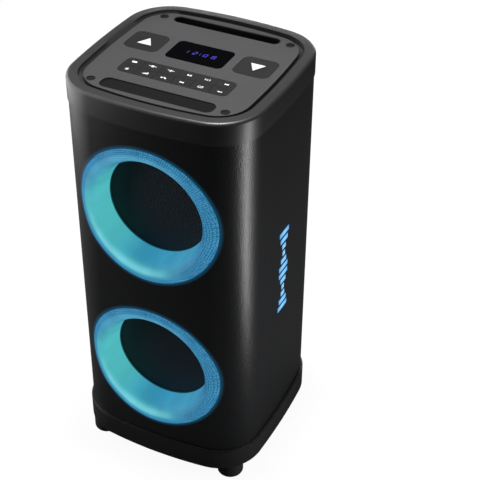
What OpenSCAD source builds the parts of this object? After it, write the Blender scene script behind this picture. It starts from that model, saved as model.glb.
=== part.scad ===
// Karaoke tower speaker with two lit woofer rings and a key panel on top.
// Millimetres. The origin is on the floor under the middle of the cabinet.
// +Z is up, the rings face -Y, and +X is on the right seen from the front.

/* [Cabinet] */
// Width of the cabinet at the middle of its bowed sides
body_w = 274; // [262:1:300]
// Depth of the cabinet at the middle of its bowed front and back
body_d = 274; // [266:1:300]
// Height of the whole tower, feet included
body_h = 604; // [596:1:660]
// Radius of the upright corners
corner_r = 64; // [58:1:72]
// Radius of the bow of the front and the back
front_bow_r = 620; // [560:10:900]
// Radius of the bow of the sides
side_bow_r = 1160; // [900:10:1600]
// Wall of the cabinet
shell_wall = 4; // [3:0.5:5]

/* [Plinth and feet] */
// Height of the feet
foot_h = 24; // [20:1:26]
// Diameter of a foot
foot_d = 38; // [30:1:40]
// How far a foot stays inside the edge of the plinth
foot_inset = 0.5; // [0.5:0.5:8]
// Height of the plinth
plinth_h = 34; // [30:1:40]
// How far the plinth stands out past the cabinet
plinth_proud = 3.5; // [3:0.5:5]
// Drop of the plinth's outer edge below its inner edge
plinth_drop = 2; // [1:0.5:3]
// Floor of the plinth
plinth_floor = 4; // [3.5:0.5:6]

/* [Top cap] */
// Height of the cap
cap_h = 31; // [29:1:36]
// How far the cap stands out past the cabinet
cap_proud = 1.2; // [0.5:0.1:2]
// Wall of the cap
cap_wall = 3; // [2.5:0.5:3.5]
// Distance from the cabinet's outline to the inner edge of the rim
rim_inset = 14; // [12:0.5:15]
// Width of the groove between the rim and the panel
groove_w = 7; // [5:0.5:8]
// Depth of the groove below the rim
groove_depth = 8; // [7.5:0.5:10]
// Thickness of the cap's floor
cap_floor = 3; // [2.5:0.5:4]
// How far the cap's lip reaches down into the cabinet
lip_depth = 8; // [5:1:12]

/* [Top panel] */
// How far the panel lies below the rim
panel_drop = 2; // [1:0.5:2.5]
// Thickness of the panel
panel_t = 2.5; // [2:0.5:3]
// Distance of the panel screws inside the panel's side edges
panel_screw_side = 22.4; // [20:0.2:26]
// Distance of the panel screws inside the panel's front and back edges
panel_screw_end = 20.6; // [19:0.2:24]
// Diameter of the plugs over the panel screws
plug_d = 12; // [10:0.5:13]
// Distance of the stand slot's ends inside the panel's side edges
slot_side = 37.5; // [36:0.5:46]
// Width of the stand slot
slot_d = 17.5; // [15:0.5:18]
// Middle of the stand slot inside the panel's back edge
slot_edge = 19.5; // [19:0.5:23]
// Depth of the stand slot
slot_depth = 22; // [16:1:30]
// Distance of the rest tray's ends inside the panel's side edges
tray_side = 37; // [35:0.5:46]
// Width of the rest tray
tray_d = 24; // [20:0.5:25]
// Middle of the rest tray inside the panel's front edge
tray_edge = 21; // [20:0.5:23]
// Depth of the rest tray
tray_depth = 3; // [2.5:0.5:3.5]
// Thickness of the rubber mat in the tray
mat_t = 1.5; // [1:0.5:2]

/* [Display] */
// Gap between the display window and a big key
window_gap = 13; // [11:0.5:19]
// Depth of the display window, front to back
window_d = 49; // [40:1:50]
// Middle of the display window behind the middle of the panel
window_y = 20; // [18:0.5:22]
// Corner radius of the display window
window_r = 8; // [4:0.5:10]
// Thickness of the display window
window_t = 2; // [1.5:0.5:2]

/* [Keys] */
// Width of the big keys
big_key_w = 50; // [44:1:51]
// Depth of the big keys, front to back
big_key_d = 47; // [40:1:49]
// Corner radius of the big keys
big_key_r = 10; // [6:0.5:12]
// Distance of the big keys inside the panel's side edges
big_key_side = 12; // [9:0.5:15]
// Middle of the big keys behind the middle of the panel
big_key_y = 21; // [19:0.5:22]
// Travel of the big keys
big_key_travel = 1.2; // [0.8:0.1:1.4]
// Width of the raised arrowhead on a big key
arrow_w = 20.4; // [14:0.2:24]
// Length of the arrowhead, base to tip
arrow_d = 17.4; // [12:0.2:20]
// Distance from the key's middle to the arrowhead's base
arrow_back = 8; // [6:0.5:9]
// Height of the arrowhead over the key
arrow_h = 0.2; // [0.1:0.1:0.4]
// Distance of the strip of small keys inside the panel's side edges
strip_side = 38.5; // [36:0.5:46]
// Depth of the strip of small keys, front to back
strip_d = 37; // [32:1:38]
// Corner radius of the strip of small keys
strip_r = 8; // [4:0.5:9]
// Middle of the strip in front of the middle of the panel
strip_y = 44.7; // [43:0.1:46]
// Travel of the small keys
small_key_travel = 0.8; // [0.5:0.1:1]
// Gap round a key
key_gap = 0.4; // [0.3:0.05:0.5]

/* [Rings and woofers] */
// Outer diameter of a lit ring
ring_d = 200; // [190:1:204]
// Diameter of the dark disc inside a ring
disc_d = 145; // [140:1:146]
// Share of the free height that lies below the lower ring
low_share = 0.252; // [0.2:0.01:0.3]
// Share of the free height that lies between the rings
mid_share = 0.491; // [0.4:0.01:0.6]
// Radius of a ring's rounded mouth
mouth_r = 33; // [26:1:36]
// Depth at which a ring's mouth starts to widen, behind the middle of the front
mouth_set = 21; // [18:0.5:24]
// How far a ring stands out past the front
ring_raise = 3; // [2:0.2:3.2]
// Wall of a ring
ring_wall = 2.5; // [2:0.5:3]
// Depth of the baffle board behind the middle of the front
baffle_set = 43; // [40:1:46]
// Thickness of the baffle board
baffle_t = 12; // [9:1:15]

/* [Side light] */
// Number of bars in the side light
bar_count = 12; // [8:1:13]
// Length of the longest bar, front to back
bar_len = 28; // [20:1:34]
// Distance from one bar to the next
bar_pitch = 11.6; // [10.6:0.2:13]
// Height of one bar
bar_h = 7; // [5:0.5:8]
// Middle of the side light above the floor
side_light_z = 316; // [300:1:336]
// Distance of the side light's middle in front of the middle of the side
side_light_set = 5; // [0:0.5:8]

/* [Back] */
// Width of the back pocket
pocket_w = 170; // [160:1:174]
// Height of the back pocket
pocket_h = 230; // [224:1:234]
// Distance of the back pocket above the plinth
pocket_rise = 48; // [40:1:54]
// Depth of the back panel's face behind the middle of the back
pocket_depth = 16; // [15:1:20]
// Thickness of the back panel
back_panel_t = 3; // [2.5:0.5:4]
// Radius of the microphone sockets
mic_bore_r = 3.2; // [3.2:0.05:3.3]
// Radius of the line sockets
line_bore_r = 1.8; // [1.8:0.05:1.9]
// Radius of the knobs
knob_r = 9; // [7:0.5:11]
// Height of the knobs
knob_h = 12; // [9:0.5:13]
// Inner radius of the bass port
port_r = 30; // [24:1:34]
// Length of the bass port
port_len = 95; // [60:5:130]
// Place of the bass port between the pocket, 0, and the hand grip, 1
port_share = 0.6; // [0.5:0.01:0.65]
// Width of the hand grip
grip_w = 110; // [95:1:125]
// Height of the hand grip
grip_h = 34; // [30:1:38]
// Depth of the hand grip
grip_depth = 38; // [30:1:45]
// Middle of the hand grip below the top of the cabinet
grip_drop = 42; // [40:1:46]

/* [Screws] */
// Radius of a case screw's shank
screw_r = 1.6; // [1.5:0.05:1.75]
// Length of a case screw's shank
screw_len = 12; // [10:0.5:13]
// Radius of a case screw's head
screw_head_r = 3.2; // [2.8:0.1:3.4]
// Height of a case screw's head
screw_head_h = 2; // [1.6:0.1:2.2]

/* [Hidden] */

// Smoothness of small rounds, of the corners and of the long bows
hole_fn = 48;
arc_fn = 96;
bow_fn = 720;
// Clearance of a fixed part in its seat, and of a shaft that turns
fit = 0.3;
shaft_fit = 0.05;
eps = 0.01;
// How far a corner disc stands past its tangent bows, so that their arcs cross cleanly
corner_overlap = 0.01;

// The outline is four long bows joined by four corner arcs that are tangent to them
half_w = body_w / 2;
half_d = body_d / 2;
side_x = half_w - side_bow_r;
bow_y = half_d - front_bow_r;
side_reach = side_bow_r - corner_r;
bow_reach = front_bow_r - corner_r;
span = sqrt(side_x * side_x + bow_y * bow_y);
along = (side_reach * side_reach - bow_reach * bow_reach + span * span) / (2 * span);
across = sqrt(side_reach * side_reach - along * along);
to_bow = [-side_x, bow_y] / span;
corner = [side_x, 0] + along * to_bow + across * [-to_bow[1], to_bow[0]];
side_half = asin(corner[1] / side_reach);
bow_half = asin(corner[0] / bow_reach);

// Levels, from the floor up
plinth_floor_z = foot_h + plinth_floor;
plinth_top_z = foot_h + plinth_h;
cap_z = body_h - cap_h;
groove_z = body_h - groove_depth;
cap_floor_z = groove_z - cap_floor;
panel_z = body_h - panel_drop;
panel_under_z = panel_z - panel_t;
panel_inset = rim_inset + groove_w;
panel_x = half_w - panel_inset;
panel_y = half_d - panel_inset;
panel_screw_x = panel_x - panel_screw_side;
panel_screw_y = panel_y - panel_screw_end;
slot_w = 2 * (panel_x - slot_side);
slot_y = panel_y - slot_edge;
tray_w = 2 * (panel_x - tray_side);
tray_y = panel_y - tray_edge;
strip_w = 2 * (panel_x - strip_side);
big_key_x = panel_x - big_key_side - big_key_w / 2;
window_w = 2 * (big_key_x - big_key_w / 2 - window_gap);
free_h = cap_z - plinth_top_z - 2 * ring_d;
lower_ring_z = plinth_top_z + low_share * free_h + ring_d / 2;
upper_ring_z = lower_ring_z + mid_share * free_h + ring_d;

// Edge of a key under the panel, and the control opening in the cap's floor
key_flange = 1.2;
open_side = 20;
open_w = 2 * (panel_x - open_side);
open_front = strip_y + strip_d / 2 + key_flange + 1;
open_back = 58;

// Planes where the front and rear walls meet the side walls, and planes past the outside
seam_y = 60;
out_x = half_w + 1;
out_y = half_d + 1;

// Posts of the cabinet that take the cap's and the plinth's screws
post_r = 5;
post_gap = 6;
post_x = open_w / 2 + post_r + 1;
post_y = half_d - baffle_set - baffle_t - post_r - post_gap;
post_len = 40;
rib_t = 4;
pilot_r = screw_r + 0.1;
clear_r = screw_r + 0.3;
head_gap = 0.4;
foot_c = corner + (corner_r + plinth_proud - foot_inset - foot_d / 2) / sqrt(2) * [1, 1];
foot_seat = foot_h - 10;

// Control board that hangs in the opening, its switches and what the keys need
board_t = 1.6;
switch_h = 4;
switch_w = 6;
switch_gap = 0.3;
key_cap_t = panel_t + 0.5;
key_flange_t = 1.6;
stem_r = 3;
frame_edge = 4;
frame_ledge = 3;
frame_t = 2;
board_post_r = 3;
switch_top_z = panel_z - key_cap_t - key_flange_t - big_key_travel - 2 * switch_gap - 0.2;
board_top_z = switch_top_z - switch_h;
board_edge = 3;
post_row = (window_y - window_d / 2 - strip_y + strip_d / 2) / 2;
post_side = open_w / 2 - 13;
back_post_y = open_back - board_edge - board_post_r - 0.5;
board_posts = [[-post_side, post_row], [-post_side / 3, post_row], [post_side / 3, post_row],
  [post_side, post_row], [-big_key_x * 0.75, back_post_y], [big_key_x * 0.75, back_post_y]];
tray_wall = 1.5;
liner_wall = 1.2;
liner_edge = 2.2;
plug_t = 1.2;
plug_sink = 0.5;
boss_r = plug_d / 2 + 2;
plug_seat_z = panel_z - plug_sink - plug_t - screw_head_h - head_gap;

// Small keys: columns from the left, the back row first
key_cols = 6;
key_rows = 2;
cell_w = (strip_w + key_gap) / key_cols;
cell_d = (strip_d + key_gap) / key_rows;

// Woofer: radius first, depth towards the front second, both along the woofer's axis
board_front = half_d - baffle_set;
flange_t = 4;
woofer_screw_r = 2;
woofer_screw_len = 14;
woofer_head_r = 3.4;
woofer_head_h = 1.8;
woofer_screw_c = disc_d / 2 + 1 + ring_wall + head_gap + woofer_head_r;
flange_r = woofer_screw_c + 4.5;
cutout_r = disc_d / 2 - 1;
flange_front = board_front + flange_t;
throat_slope = 6;
mouth_z = half_d - mouth_set;
throat_r = disc_d / 2 + (mouth_z - flange_front) * tan(throat_slope);
mouth_c = [throat_r + mouth_r * cos(throat_slope), mouth_z - mouth_r * sin(throat_slope)];
grille_t = 1.5;
basket_wall = 1.5;
seat_r = cutout_r - 0.7;
ledge_r = seat_r - 7;
cone_r = ledge_r - 5;
ledge_z = board_front - 5;
coil_r = 13.3;
coil_t = 0.5;
coil_gap = 0.7;
top_plate_z = board_front - 46;
magnet_r = 45;
magnet_h = 15;
magnet_bore_r = 22;
plate_t = 5;
plate_edge = 3;
vent_r = 4;
magnet_back = top_plate_z - magnet_h - 2 * plate_t;
pole_r = coil_r - coil_gap;
plate_bore_r = coil_r + coil_t + coil_gap;
spider_z = top_plate_z + 11;
spider_r = 43.5;
cone_foot_z = spider_z + 3;
cone_lip_z = ledge_z + 1.5;
led_inner = flange_r + 1.5;
led_outer = ring_d / 2 - ring_wall - 1;
led_t = 1.6;

// Side light: the bars' lengths rise and fall along the column
side_light_h = bar_count * bar_pitch;
lens_back_t = 2;
lens_edge = 6;
bar_proud = 0.4;
side_board_t = 1.6;
side_board_gap = 0.5;
function bar_size(i) = bar_len * (0.62 + 0.38 * cos(i * 360 / 5.5));

// Back: depths along +Y
panel_face_y = half_d - pocket_depth;
panel_back_y = panel_face_y - back_panel_t;
pocket_z = plinth_top_z + pocket_rise + pocket_h / 2;
pocket_top_z = pocket_z + pocket_h / 2;
tunnel_wall = 3;
seat_w = 6;
seat_t = 3;
back_screw_x = pocket_w / 2 - seat_w / 2 - 0.5;
back_screw_z = [pocket_h / 2 - 12, 0, -pocket_h / 2 + 12];
amp_gap = 26;
amp_y = panel_back_y - amp_gap;
amp_w = 146;
amp_h = 112;
amp_z = pocket_z + 48;
control_row_z = pocket_z + 78;
line_row_z = pocket_z + 38;
knob_x = [-52, -14];
socket_x = [26, 56];
bezel_t = 2;
mic_bezel_r = 8;
mic_barrel_r = 6;
mic_len = 26;
mic_body_w = 15;
line_body_w = 10;
line_bezel_r = 5.5;
line_barrel_r = 4;
line_len = 14;
knob_shaft_r = 2.95;
bushing_r = 4.4;
pot_w = 16;
knob_gap = 0.5;
inlet_w = 32;
inlet_h = 60;
inlet_z = pocket_z - 62;
inlet_body_d = 20;
rocker_z = inlet_z + 14;
plug_hole_z = inlet_z - 15;
plug_hole_w = 15;
plug_hole_h = 9;
plug_hole_d = 12;
pin_r = 1.2;
pin_x = 4.3;
rocker_r = 9.4;
rocker_w = 12;
rocker_gap = 0.5;
rocker_tilt = 7;
rocker_pin_r = 1.2;
rocker_pin_len = 1.2;
port_wall = 2.5;
port_flange = 8;
flange_proud = 2.2;
grip_wall = 2.5;
grip_flange = 5;
grip_z = cap_z - grip_drop;
port_z = pocket_top_z + port_share * (grip_z - grip_h / 2 - pocket_top_z);
grip_r = 10;
power_w = 120;
power_d = 84;
power_y = 46;
power_stand = 8;

// Blocks of the two boards in the cabinet, and the heat sink
can_r = 4.5;
can_h = 12;
can_pitch = 12;
sink_h = 60;
sink_base = 4;
fin_count = 9;
fin_pitch = 8;
fin_t = 2;
fin_len = 20;
transformer = [42, 40, 32];
big_can_r = 7;
big_can_h = 26;
big_can_pitch = 18;
bridge = [46, 22, 14];

// Leads from the amplifier board to the woofers
lead_r = 1.6;
lead_x = spider_r + 6;
lead_bend_y = 30;
tab_w = 8;
tab_t = 2;

function side_point(g) = [side_x + (side_bow_r + g) * cos(side_half),
  (side_bow_r + g) * sin(side_half)];
function bow_point(g) = [(front_bow_r + g) * sin(bow_half),
  bow_y + (front_bow_r + g) * cos(bow_half)];

// Outline of the cabinet, moved outwards by g: two bowed bars and a disc in each corner
module outline(g = 0) {
  s = side_point(g);
  f = bow_point(g);
  for (turn = [0, 180]) rotate(turn) {
    intersection() {
      translate([side_x, 0]) circle(r = side_bow_r + g, $fn = bow_fn);
      translate([-1, -s[1]]) square([body_w, 2 * s[1]]);
    }
    intersection() {
      translate([0, bow_y]) circle(r = front_bow_r + g, $fn = bow_fn);
      translate([-f[0], -1]) square([2 * f[0], body_d]);
    }
  }
  for (x = [-1, 1], y = [-1, 1]) translate([x * corner[0], y * corner[1]])
    circle(r = corner_r + g + corner_overlap, $fn = arc_fn);
}

// Solid of the outline between two heights
module slab(g, z0, z1) {
  translate([0, 0, z0]) linear_extrude(z1 - z0) outline(g);
}

// Wall that follows the outline between two heights
module wall(g_out, g_in, z0, z1) {
  translate([0, 0, z0]) linear_extrude(z1 - z0) difference() {
    outline(g_out);
    outline(g_in);
  }
}

module round_rect(w, h, r) {
  square([w - 2 * r, h], center = true);
  square([w, h - 2 * r], center = true);
  for (x = [-1, 1], y = [-1, 1])
    translate([x * (w / 2 - r), y * (h / 2 - r)]) circle(r = r, $fn = hole_fn);
}

// Slot with round ends, standing between two heights
module slot_block(w, d, z0, z1) {
  translate([0, slot_y, z0]) linear_extrude(z1 - z0) {
    square([w - d, d], center = true);
    for (side = [-1, 1]) translate([side * (w - d) / 2, 0]) circle(r = d / 2, $fn = hole_fn);
  }
}

// Rounded block standing between two heights
module round_block(w, d, r, z0, z1) {
  translate([0, 0, z0]) linear_extrude(z1 - z0) round_rect(w, d, r);
}

// Copies at plus and minus x and y
module four(x, y) {
  for (sx = [-1, 1], sy = [-1, 1]) translate([sx * x, sy * y, 0]) children();
}

// Turns a shape drawn upwards so that it faces the front at a height
module to_front_at(z) {
  translate([0, 0, z]) rotate([90, 0, 0]) children();
}

// Turns a shape drawn upwards so that it faces the back at a place
module to_back_at(x, y, z) {
  translate([x, y, z]) rotate([-90, 0, 0]) children();
}

// Screw with its head's underside at the origin and its shank downwards
module screw(r, len, head_r, head_h) {
  translate([0, 0, -len]) cylinder(r = r, h = len + eps, $fn = hole_fn);
  difference() {
    cylinder(r = head_r, h = head_h, $fn = hole_fn);
    for (turn = [0, 90]) rotate(turn)
      translate([-head_r * 0.6, -0.4, head_h / 2]) cube([head_r * 1.2, 0.8, head_h]);
  }
}

module case_screw() {
  screw(screw_r, screw_len, screw_head_r, screw_head_h);
}

// Places of the case screws: each child is drawn with its shank downwards
module at_panel_screws() {
  four(panel_screw_x, panel_screw_y) translate([0, 0, plug_seat_z]) children();
}

module at_cap_screws() {
  four(post_x, post_y) translate([0, 0, groove_z]) children();
}

module at_base_screws() {
  four(post_x, post_y) translate([0, 0, foot_h + screw_head_h]) rotate([180, 0, 0]) children();
}

module at_foot_screws() {
  four(foot_c[0], foot_c[1]) translate([0, 0, foot_seat + screw_head_h]) rotate([180, 0, 0])
    children();
}

module at_back_screws() {
  for (side = [-1, 1], z = back_screw_z)
    to_back_at(side * back_screw_x, panel_face_y, pocket_z + z) children();
}

// Post inside a corner of the cabinet, with a rib that ties it to the side wall
module corner_posts(z0, z1, rib_z0, rib_z1) {
  four(post_x, post_y) translate([0, 0, z0]) cylinder(r = post_r, h = z1 - z0, $fn = hole_fn);
  intersection() {
    slab(-shell_wall / 2, rib_z0, rib_z1);
    for (sx = [-1, 1], sy = [-1, 1])
      translate([sx > 0 ? post_x : -half_w, sy * post_y - rib_t / 2, rib_z0])
        cube([half_w - post_x, rib_t, rib_z1 - rib_z0]);
  }
}

// Box of the back pocket, from a depth to past the back
module pocket_box(w, h, y0) {
  translate([-w / 2, y0, pocket_z - h / 2]) cube([w, half_d - y0 + 5, h]);
}

// One wall of the cabinet: the part of the shell between four planes
module cabinet_wall(x0, x1, y0, y1) color([0.16, 0.17, 0.18]) intersection() {
  cabinet_shell();
  translate([x0, y0, 0]) cube([x1 - x0, y1 - y0, body_h]);
}

module cabinet_shell() difference() {
  union() {
    wall(0, -shell_wall, plinth_floor_z, cap_z);
    corner_posts(cap_z - post_len, cap_floor_z, cap_z - post_len, cap_z - lip_depth - 1);
    corner_posts(plinth_floor_z, plinth_floor_z + post_len, plinth_floor_z,
      plinth_floor_z + post_len);
    intersection() {
      slab(-eps, pocket_z - pocket_h / 2 - 10, pocket_z + pocket_h / 2 + 10);
      pocket_box(pocket_w + 2 * tunnel_wall, pocket_h + 2 * tunnel_wall, panel_back_y - seat_t);
    }
    at_back_screws() translate([0, 0, -back_panel_t - screw_len])
      cylinder(r = screw_r + 2.2, h = screw_len, $fn = hole_fn);
  }
  pocket_box(pocket_w, pocket_h, panel_back_y);
  pocket_box(pocket_w - 2 * seat_w - 2, pocket_h - 2 * seat_w - 2, panel_back_y - seat_t - 1);
  for (z = [lower_ring_z, upper_ring_z]) to_front_at(z)
    cylinder(r = ring_d / 2 + fit, h = half_d + 10, $fn = arc_fn);
  at_cap_screws() translate([0, 0, -screw_len - 2])
    cylinder(r = pilot_r, h = screw_len + 3, $fn = hole_fn);
  at_base_screws() translate([0, 0, -screw_len - 2])
    cylinder(r = pilot_r, h = screw_len + 3, $fn = hole_fn);
  at_back_screws() translate([0, 0, -screw_len - back_panel_t - 1])
    cylinder(r = pilot_r, h = screw_len + back_panel_t + 2, $fn = hole_fn);
  side_bars(fit / 2, shell_wall + 2);
  to_back_at(0, 0, port_z) cylinder(r = port_r + port_wall + fit, h = half_d + 10, $fn = arc_fn);
  to_back_at(0, half_d - 20, grip_z) linear_extrude(30)
    round_rect(grip_w + 2 * fit, grip_h + 2 * fit, grip_r + fit);
}

module top_cap() color([0.2, 0.2, 0.21]) difference() {
  union() {
    wall(cap_proud, cap_proud - cap_wall, cap_z, body_h);
    wall(cap_proud - 1, -rim_inset + 1, body_h - cap_wall, body_h);
    wall(-rim_inset + cap_wall, -rim_inset, cap_floor_z, body_h);
    slab(-rim_inset + 1, cap_floor_z, groove_z);
    wall(cap_proud - 1, -shell_wall - fit - 1, cap_z, cap_z + cap_wall);
    wall(-shell_wall - fit, -shell_wall - fit - cap_wall, cap_z - lip_depth, cap_z + cap_wall);
    at_panel_screws() translate([0, 0, -screw_len])
      cylinder(r = post_r, h = screw_len - (plug_seat_z - groove_z), $fn = hole_fn);
  }
  translate([-open_w / 2, -open_front, cap_floor_z - 1])
    cube([open_w, open_front + open_back, cap_floor + 2]);
  slot_block(slot_w, slot_d, cap_floor_z - 1, groove_z + 1);
  at_panel_screws() translate([0, 0, -screw_len - 1])
    cylinder(r = pilot_r, h = screw_len + 2, $fn = hole_fn);
  at_cap_screws() translate([0, 0, -screw_len])
    cylinder(r = clear_r, h = screw_len + 1, $fn = hole_fn);
}

module tray_block(w, d, z0, z1) {
  translate([0, -tray_y, 0]) round_block(w, d, d / 2 - 2, z0, z1);
}

module top_panel() color([0.35, 0.35, 0.35]) difference() {
  union() {
    slab(-panel_inset - fit, panel_under_z, panel_z);
    wall(-panel_inset - fit, -panel_inset - fit - panel_t, groove_z, panel_z);
    intersection() {
      slab(-panel_inset - fit - 1, groove_z, panel_z);
      four(panel_screw_x, panel_screw_y) cylinder(r = boss_r, h = body_h, $fn = hole_fn);
    }
    tray_block(tray_w + 2 * tray_wall, tray_d + 2 * tray_wall,
      panel_z - tray_depth - tray_wall, panel_z);
    translate([0, window_y, 0]) round_block(window_w + 2 * frame_edge, window_d + 2 * frame_edge,
      window_r, panel_under_z - frame_t, panel_z);
    for (p = board_posts) translate([p[0], p[1], board_top_z])
      cylinder(r = board_post_r, h = panel_z - board_top_z, $fn = hole_fn);
  }
  tray_block(tray_w, tray_d, panel_z - tray_depth, panel_z + 1);
  translate([0, window_y, 0]) {
    round_block(window_w + fit, window_d + fit, window_r, panel_z - window_t, panel_z + 1);
    round_block(window_w - 2 * frame_ledge, window_d - 2 * frame_ledge, window_r - frame_ledge,
      panel_under_z - frame_t - 1, panel_z);
  }
  for (side = [-1, 1]) translate([side * big_key_x, big_key_y, 0])
    round_block(big_key_w + 2 * key_gap, big_key_d + 2 * key_gap, big_key_r + key_gap,
      panel_under_z - 1, panel_z + 1);
  translate([0, -strip_y, 0]) round_block(strip_w + 2 * key_gap, strip_d + 2 * key_gap,
    strip_r + key_gap, panel_under_z - 1, panel_z + 1);
  slot_block(slot_w, slot_d, panel_under_z - 1, panel_z + 1);
  at_panel_screws() {
    cylinder(r = plug_d / 2 + fit / 2, h = 20, $fn = hole_fn);
    translate([0, 0, -20]) cylinder(r = clear_r, h = 21, $fn = hole_fn);
  }
}

module base_plinth() color([0.1, 0.1, 0.1]) difference() {
  union() {
    wall(plinth_proud, 2 * fit, foot_h, plinth_top_z - plinth_drop);
    wall(plinth_proud - plinth_drop / 2, 2 * fit, foot_h, plinth_top_z);
    slab(plinth_proud, foot_h, plinth_floor_z);
    translate([0, power_y, plinth_floor_z]) four(power_w / 2 - 6, power_d / 2 - 6)
      cylinder(r = 4, h = power_stand, $fn = hole_fn);
  }
  at_base_screws() {
    cylinder(r = screw_head_r + head_gap, h = 5, $fn = hole_fn);
    translate([0, 0, -10]) cylinder(r = clear_r, h = 11, $fn = hole_fn);
  }
  at_foot_screws() translate([0, 0, -screw_len - 3])
    cylinder(r = pilot_r, h = screw_len + 3, $fn = hole_fn);
}

// Rubber foot with a rounded lower edge and a screw well
module foot(x, y) color([0.07, 0.07, 0.07]) {
  edge = 4;
  r = foot_d / 2;
  translate([x, y, 0]) difference() {
    rotate_extrude($fn = arc_fn) {
      translate([0, edge]) square([r, foot_h - edge]);
      square([r - edge, edge + 1]);
      intersection() {
        translate([r - edge, edge]) circle(r = edge, $fn = hole_fn);
        translate([r - edge, 0]) square([edge, edge + 1]);
      }
    }
    translate([0, 0, -1]) cylinder(r = screw_head_r + 1, h = foot_seat + screw_head_h + 1,
      $fn = hole_fn);
    cylinder(r = clear_r, h = foot_h + 1, $fn = hole_fn);
  }
}

module baffle_board() color([0.55, 0.42, 0.28]) difference() {
  intersection() {
    slab(-shell_wall - fit, plinth_floor_z, cap_z - lip_depth - 1);
    translate([-half_w, -board_front, 0]) cube([body_w, baffle_t, body_h]);
  }
  for (z = [lower_ring_z, upper_ring_z]) to_front_at(z) {
    cylinder(r = cutout_r, h = half_d, $fn = arc_fn);
    at_woofer_screws() translate([0, 0, -woofer_screw_len - 1])
      cylinder(r = woofer_screw_r + 0.1, h = woofer_screw_len + 2, $fn = hole_fn);
  }
}

module rear_panel() color([0.12, 0.12, 0.12]) difference() {
  union() {
    translate([-pocket_w / 2 + fit, panel_back_y, pocket_z - pocket_h / 2 + fit])
      cube([pocket_w - 2 * fit, back_panel_t, pocket_h - 2 * fit]);
    for (x = [-1, 1], z = [-1, 1])
      to_back_at(x * (amp_w / 2 - 5), amp_y, amp_z + z * (amp_h / 2 - 5))
        cylinder(r = 4, h = amp_gap + 1, $fn = hole_fn);
  }
  at_back_screws() translate([0, 0, -5]) cylinder(r = clear_r, h = 7, $fn = hole_fn);
  for (x = knob_x) to_back_at(x, panel_back_y - 1, control_row_z)
    cylinder(r = bushing_r + fit / 2, h = back_panel_t + 2, $fn = hole_fn);
  for (x = socket_x) {
    to_back_at(x, panel_back_y - 1, control_row_z)
      cylinder(r = mic_barrel_r + fit / 2, h = back_panel_t + 2, $fn = hole_fn);
    to_back_at(x, panel_back_y - 1, line_row_z)
      cylinder(r = line_barrel_r + fit / 2, h = back_panel_t + 2, $fn = hole_fn);
  }
  translate([-inlet_w / 2 + 2 - fit, panel_back_y - 1, inlet_z - inlet_h / 2 + 2 - fit])
    cube([inlet_w - 4 + 2 * fit, back_panel_t + 2, inlet_h - 4 + 2 * fit]);
}

module case_screws() color([0.3, 0.3, 0.3]) {
  at_panel_screws() case_screw();
  at_cap_screws() case_screw();
  at_base_screws() case_screw();
  at_foot_screws() case_screw();
  at_back_screws() case_screw();
}

module at_woofer_screws() {
  for (turn = [45:90:315]) rotate(turn) translate([woofer_screw_c, 0, flange_front]) children();
}

module woofer_screws() color([0.4, 0.4, 0.4])
  for (z = [lower_ring_z, upper_ring_z]) to_front_at(z) at_woofer_screws() {
    translate([0, 0, -woofer_screw_len])
      cylinder(r = woofer_screw_r, h = woofer_screw_len + eps, $fn = hole_fn);
    cylinder(r = woofer_head_r, h = woofer_head_h, $fn = hole_fn);
  }

module screw_plugs() color([0.06, 0.06, 0.06])
  four(panel_screw_x, panel_screw_y) translate([0, 0, panel_z - plug_sink - plug_t])
    cylinder(r = plug_d / 2, h = plug_t, $fn = hole_fn);

module display_window() color([0.02, 0.02, 0.03]) translate([0, window_y, 0])
  round_block(window_w, window_d, window_r, panel_z - window_t, panel_z);

// Circuit board under the panel, with a switch below each key and the display block
module control_board() color([0.1, 0.35, 0.2]) {
  z = board_top_z;
  translate([-open_w / 2 + board_edge, -open_front + board_edge, z - board_t])
    cube([open_w - 2 * board_edge, open_front + open_back - 2 * board_edge, board_t]);
  for (side = [-1, 1]) translate([side * big_key_x, big_key_y, z]) switch_block();
  for (col = [0:key_cols - 1], row = [0:key_rows - 1]) translate(concat(key_place(col, row), [z]))
    switch_block();
  translate([-window_w / 2 + 8, window_y - window_d / 2 + 8, z - eps])
    cube([window_w - 16, window_d - 16, switch_h + 1]);
}

module switch_block() {
  translate([-switch_w / 2, -switch_w / 2, -eps]) cube([switch_w, switch_w, switch_h + eps]);
}

function key_place(col, row) = [-strip_w / 2 - key_gap / 2 + cell_w * (col + 0.5),
  -strip_y + strip_d / 2 + key_gap / 2 - cell_d * (row + 0.5)];

// Big key with a raised arrowhead; turn 0 points it to the back
module big_key(side, turn) color([0.15, 0.15, 0.15]) translate([side * big_key_x, big_key_y, 0]) {
  round_block(big_key_w, big_key_d, big_key_r, panel_z - key_cap_t, panel_z);
  round_block(big_key_w + 2 * key_flange, big_key_d + 2 * key_flange, big_key_r + key_flange,
    panel_under_z - switch_gap - key_flange_t, panel_under_z - switch_gap);
  stem(big_key_travel);
  translate([0, 0, panel_z - eps]) rotate(turn) linear_extrude(arrow_h + eps)
    polygon([[-arrow_w / 2, -arrow_back], [arrow_w / 2, -arrow_back], [0, arrow_d - arrow_back]]);
}

// Nub under a key, which ends above its switch by the travel and a gap
module stem(travel) {
  top = panel_under_z - switch_gap - key_flange_t / 2;
  bottom = switch_top_z + travel + switch_gap;
  translate([0, 0, bottom]) cylinder(r = stem_r, h = top - bottom, $fn = hole_fn);
}

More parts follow.
